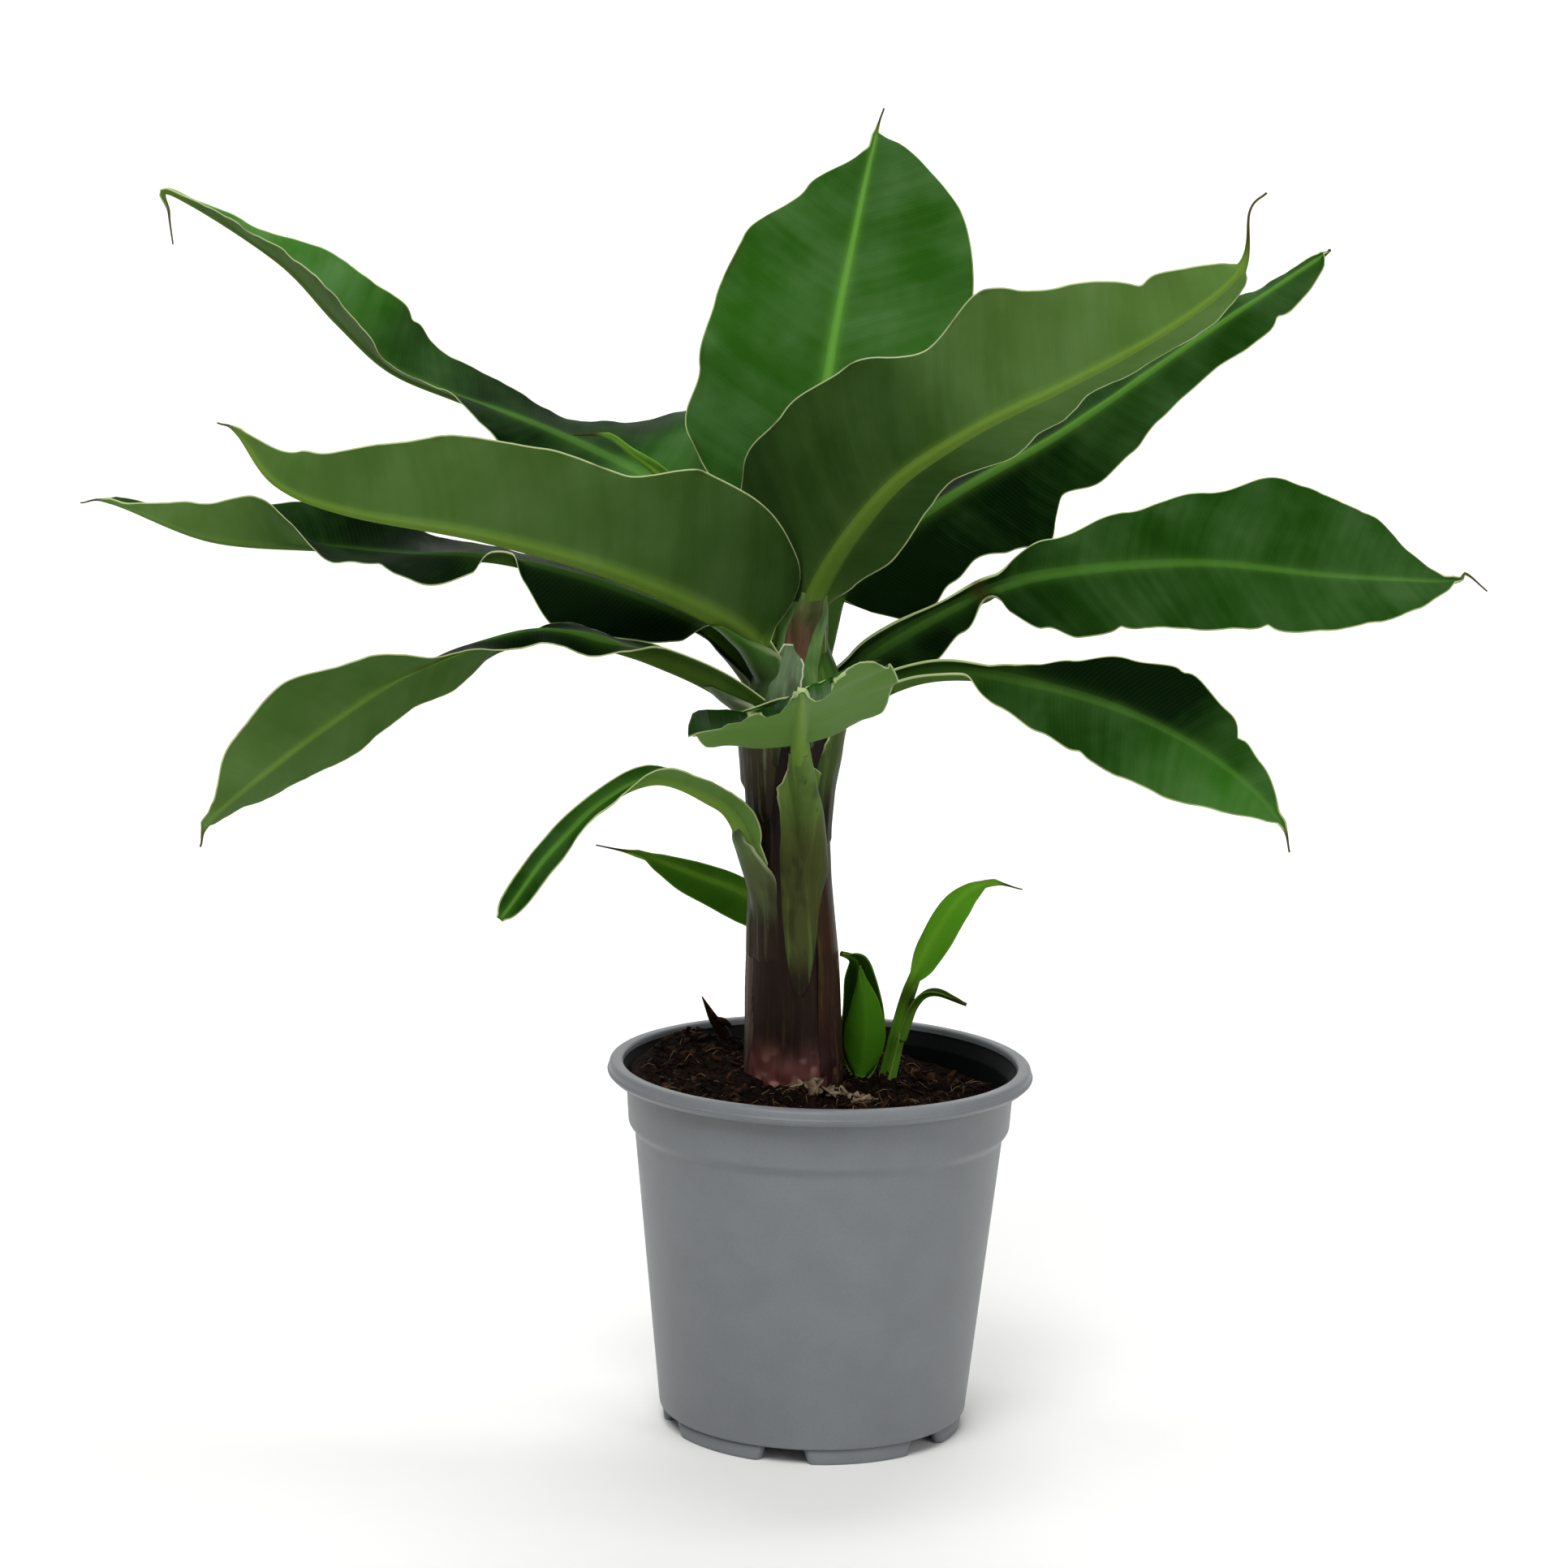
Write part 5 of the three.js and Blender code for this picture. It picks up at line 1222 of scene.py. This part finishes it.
def rolled_margin(thick):
    """The closed skin of the front leaf's rolled margin: a ruled strip from its free edge to its bend,
    swollen a little between them, with the upper side of the leaf outwards."""
    t = np.linspace(0, 1, 170)
    edge, bend = (np.stack([along(column, t) for column in part.T], 1)[:, None]
                  for part in np.hsplit(np.asarray(FRONT_FOLD), 2))
    u = np.linspace(0, 1, 13)[None, :, None]
    facing = unit(np.cross(bend - edge, np.gradient(edge, axis=0)))
    facing = facing * np.where(facing[..., 1:2] > 0, -1, 1)
    grid = lerp(edge, bend, u) + facing * np.sin(np.pi * u) * 0.8
    swell = facing * thick / 2 * np.sqrt(np.clip(1 - (2 * u - 1) ** 4, 0.04, 1))
    wide = np.linalg.norm(bend - edge, axis=2) * u[..., 0]
    tall = np.abs(bend - edge)[..., 2] * u[..., 0] * 0.45
    blade = np.stack([t[:, None] * 90 + 0 * wide, wide, tall], -1).reshape(-1, 3)
    tone = lerp(0.2, 0.6, ease(0.5, 0.8, t))[:, None] + 0 * wide
    look = np.stack([tone, 0 * wide, 0 * wide], -1).reshape(-1, 3)
    values = {"blade": np.vstack([blade, blade]), "look": np.vstack([look, look])}
    return grid + swell, grid - swell, values


class BANANA_OT_leaves(bpy.types.Operator):
    """All leaves and young shoots, each a finer copy of its CAD blade by the same rule."""

    bl_idname = "banana.leaves"
    bl_label = "Leaves and shoots"

    def execute(self, context):
        plant = context.scene.banana_plant
        thick = plant.blade_thickness / MM
        # The last value of each material is the strength of its pale grey-green: glaucous wax and painted
        # sheen
        upper = leaf_lamina("banana leaf upper side", "051404", "336a18", "649a3a", "b4c488", 0.5, 0.09, 0.2)
        under = leaf_lamina("banana leaf underside", "0e2808", "567836", "6f8e30", "c3ce9a", 0.55, 0.07, 0.12)
        young = leaf_lamina("young leaf, upper side", "123006", "4f8c1c", "86b43c", "5f8a2c", 0.5, 0.08, 0.0)
        young_under = leaf_lamina("young leaf, underside", "1a3c08", "5c962c", "86b43c", "6a9034", 0.52,
                                  0.08, 0.06)
        for number, (name, leaf) in enumerate({**LEAVES, "shoot_near_wrap": SHOOT_WRAP}.items()):
            fresh = name.startswith(("shoot", "spear"))
            spacing = plant.station / MM * (YOUNG_SPACING if fresh else 1)
            columns = YOUNG_COLUMNS if fresh else LEAF_COLUMNS
            above, below, values = leaf_surface({**PLAIN_LEAF, **leaf}, {**PLAIN_LOOK, **LOOKS[name]},
                                                spacing, thick, columns, LEAF_SEED + number)
            nodes = [name] if name in LEAVES else []
            nodes += [name + "_tip"] if "split" in leaf else []
            skins = [young, young_under] if fresh else [upper, upper if name == "leaf_back" else under]
            points, faces, slots = closed_skin(above, below)
            piece(name + "_blade", "young_leaf" if fresh else "leaf", points, faces, skins, slots, values,
                  nodes)
        above, below, values = rolled_margin(thick)
        points, faces, _ = closed_skin(above, below)
        piece("leaf_front_fold", "leaf", points, faces, [upper], values=values)
        return {"FINISHED"}


class BANANA_OT_stage(bpy.types.Operator):
    """A pale floor that curves up behind, soft light and the camera."""

    bl_idname = "banana.stage"
    bl_label = "Stage"

    def paper(self, colour):
        """White studio paper, matt, with faint clouds 17 mm wide."""
        material, tree, shader = new_material("matt white studio paper", Roughness=0.9,
                                              Specular_IOR_Level=0.1)
        place = add(tree, "TexCoord", {}, "Object")
        noise = add(tree, "TexNoise", {"Vector": place, "Scale": 60})
        tint = add(tree, "Mix", {0: noise, 6: colour, 7: shaded(colour, 0.985)}, 2, data_type="RGBA")
        wire(shader, {"Base Color": tint})
        return material

    def backdrop(self, colour):
        """The floor: flat from y = -3.2 m to 2.2 m, then a quarter round of 1.2 m, then upright."""
        run = np.linspace(0, 1, 60)[:, None]
        width = np.linspace(-4, 4, 9)[None]
        arc = np.clip((run - 0.55) / 0.2, 0, 1) * np.pi / 2
        y = np.where(run < 0.55, lerp(-3.2, 2.2, run / 0.55), 2.2 + np.sin(arc) * 1.2)
        z = (1 - np.cos(arc)) * 1.2 + np.clip((run - 0.75) / 0.25, 0, 1) * 3
        points = np.stack([width + 0 * y, y + 0 * width, z + 0 * width], -1).reshape(-1, 3)
        smooth_object("pale_floor", points, grid_quads(60, 9), [self.paper(colour)])

    def softbox(self, name, place, aim_at, size, power):
        """A round area light, in metres and watts, turned towards a point."""
        light = bpy.data.lights.new(name, "AREA")
        light.shape = "DISK"
        light.size = size
        light.energy = power
        lamp = bpy.data.objects.new(name, light)
        lamp.location = place
        aim = np.subtract(aim_at, place)
        lamp.rotation_euler = (math.atan2(math.hypot(aim[0], aim[1]), -aim[2]), 0,
                               math.atan2(aim[1], aim[0]) - math.pi / 2)
        bpy.context.scene.collection.objects.link(lamp)

    def execute(self, context):
        stage = context.scene.banana_stage
        scene = context.scene
        self.backdrop(stage.floor)
        world = scene.world or bpy.data.worlds.new("studio")
        scene.world = world
        world.use_nodes = True
        wire(world.node_tree.nodes["Background"], {"Color": linear("ffffff"), "Strength": 0.2})
        self.softbox("key_softbox", (-0.5, -1.5, 2.3), (0, 0, 0.35), 1.5, stage.key_power)
        self.softbox("fill_softbox", (1.7, -1.6, 1.0), (0, 0, 0.35), 1.4, stage.fill_power)
        self.softbox("backdrop_light", (0, 1.0, 2.6), (0, 3.4, 0.4), 2.0, stage.back_power)

        camera = bpy.data.cameras.new("photo_camera")
        camera.sensor_width = 36
        camera.lens = stage.lens
        camera.clip_start = 0.05
        eye = bpy.data.objects.new("photo_camera", camera)
        eye.location = CAMERA_PLACE
        pitch = Matrix.Rotation(math.radians(90 - CAMERA_DIP), 3, "X")
        spin = Matrix.Rotation(math.radians(CAMERA_LEAN), 3, "Z")
        eye.rotation_mode = "XYZ"
        eye.rotation_euler = (pitch @ spin).to_euler("XYZ")
        scene.collection.objects.link(eye)
        scene.camera = eye
        scene.view_settings.view_transform = "Standard"
        return {"FINISHED"}


class BANANA_PT_panel(bpy.types.Panel):
    """Buttons and settings of the plant in the sidebar."""

    bl_label = "Banana plant"
    bl_idname = "BANANA_PT_panel"
    bl_space_type = "VIEW_3D"
    bl_region_type = "UI"
    bl_category = "Banana plant"

    def draw(self, context):
        layout = self.layout
        for operator in OPERATORS:
            layout.operator(operator.bl_idname)
        for owner in ("banana_pot", "banana_peat", "banana_plant", "banana_stage"):
            settings = getattr(context.scene, owner)
            box = layout.box()
            for name in settings.__annotations__:
                box.prop(settings, name)


SETTINGS = {"banana_pot": PotSettings, "banana_peat": PeatSettings, "banana_plant": PlantSettings,
            "banana_stage": StageSettings}
OPERATORS = (BANANA_OT_stage, BANANA_OT_pot, BANANA_OT_peat, BANANA_OT_pseudostem, BANANA_OT_leaves)


def register():
    """Registers the settings, the operators and the panel."""
    for cls in (*SETTINGS.values(), *OPERATORS, BANANA_PT_panel):
        bpy.utils.register_class(cls)
    for name, cls in SETTINGS.items():
        setattr(bpy.types.Scene, name, bpy.props.PointerProperty(type=cls))


def unregister():
    """Takes them off again."""
    for name in SETTINGS:
        delattr(bpy.types.Scene, name)
    for cls in reversed((*SETTINGS.values(), *OPERATORS, BANANA_PT_panel)):
        bpy.utils.unregister_class(cls)


def main():
    register()
    bpy.ops.banana.stage()
    bpy.ops.banana.pot()
    bpy.ops.banana.peat()
    bpy.ops.banana.pseudostem()
    bpy.ops.banana.leaves()


if __name__ == "__main__":
    main()
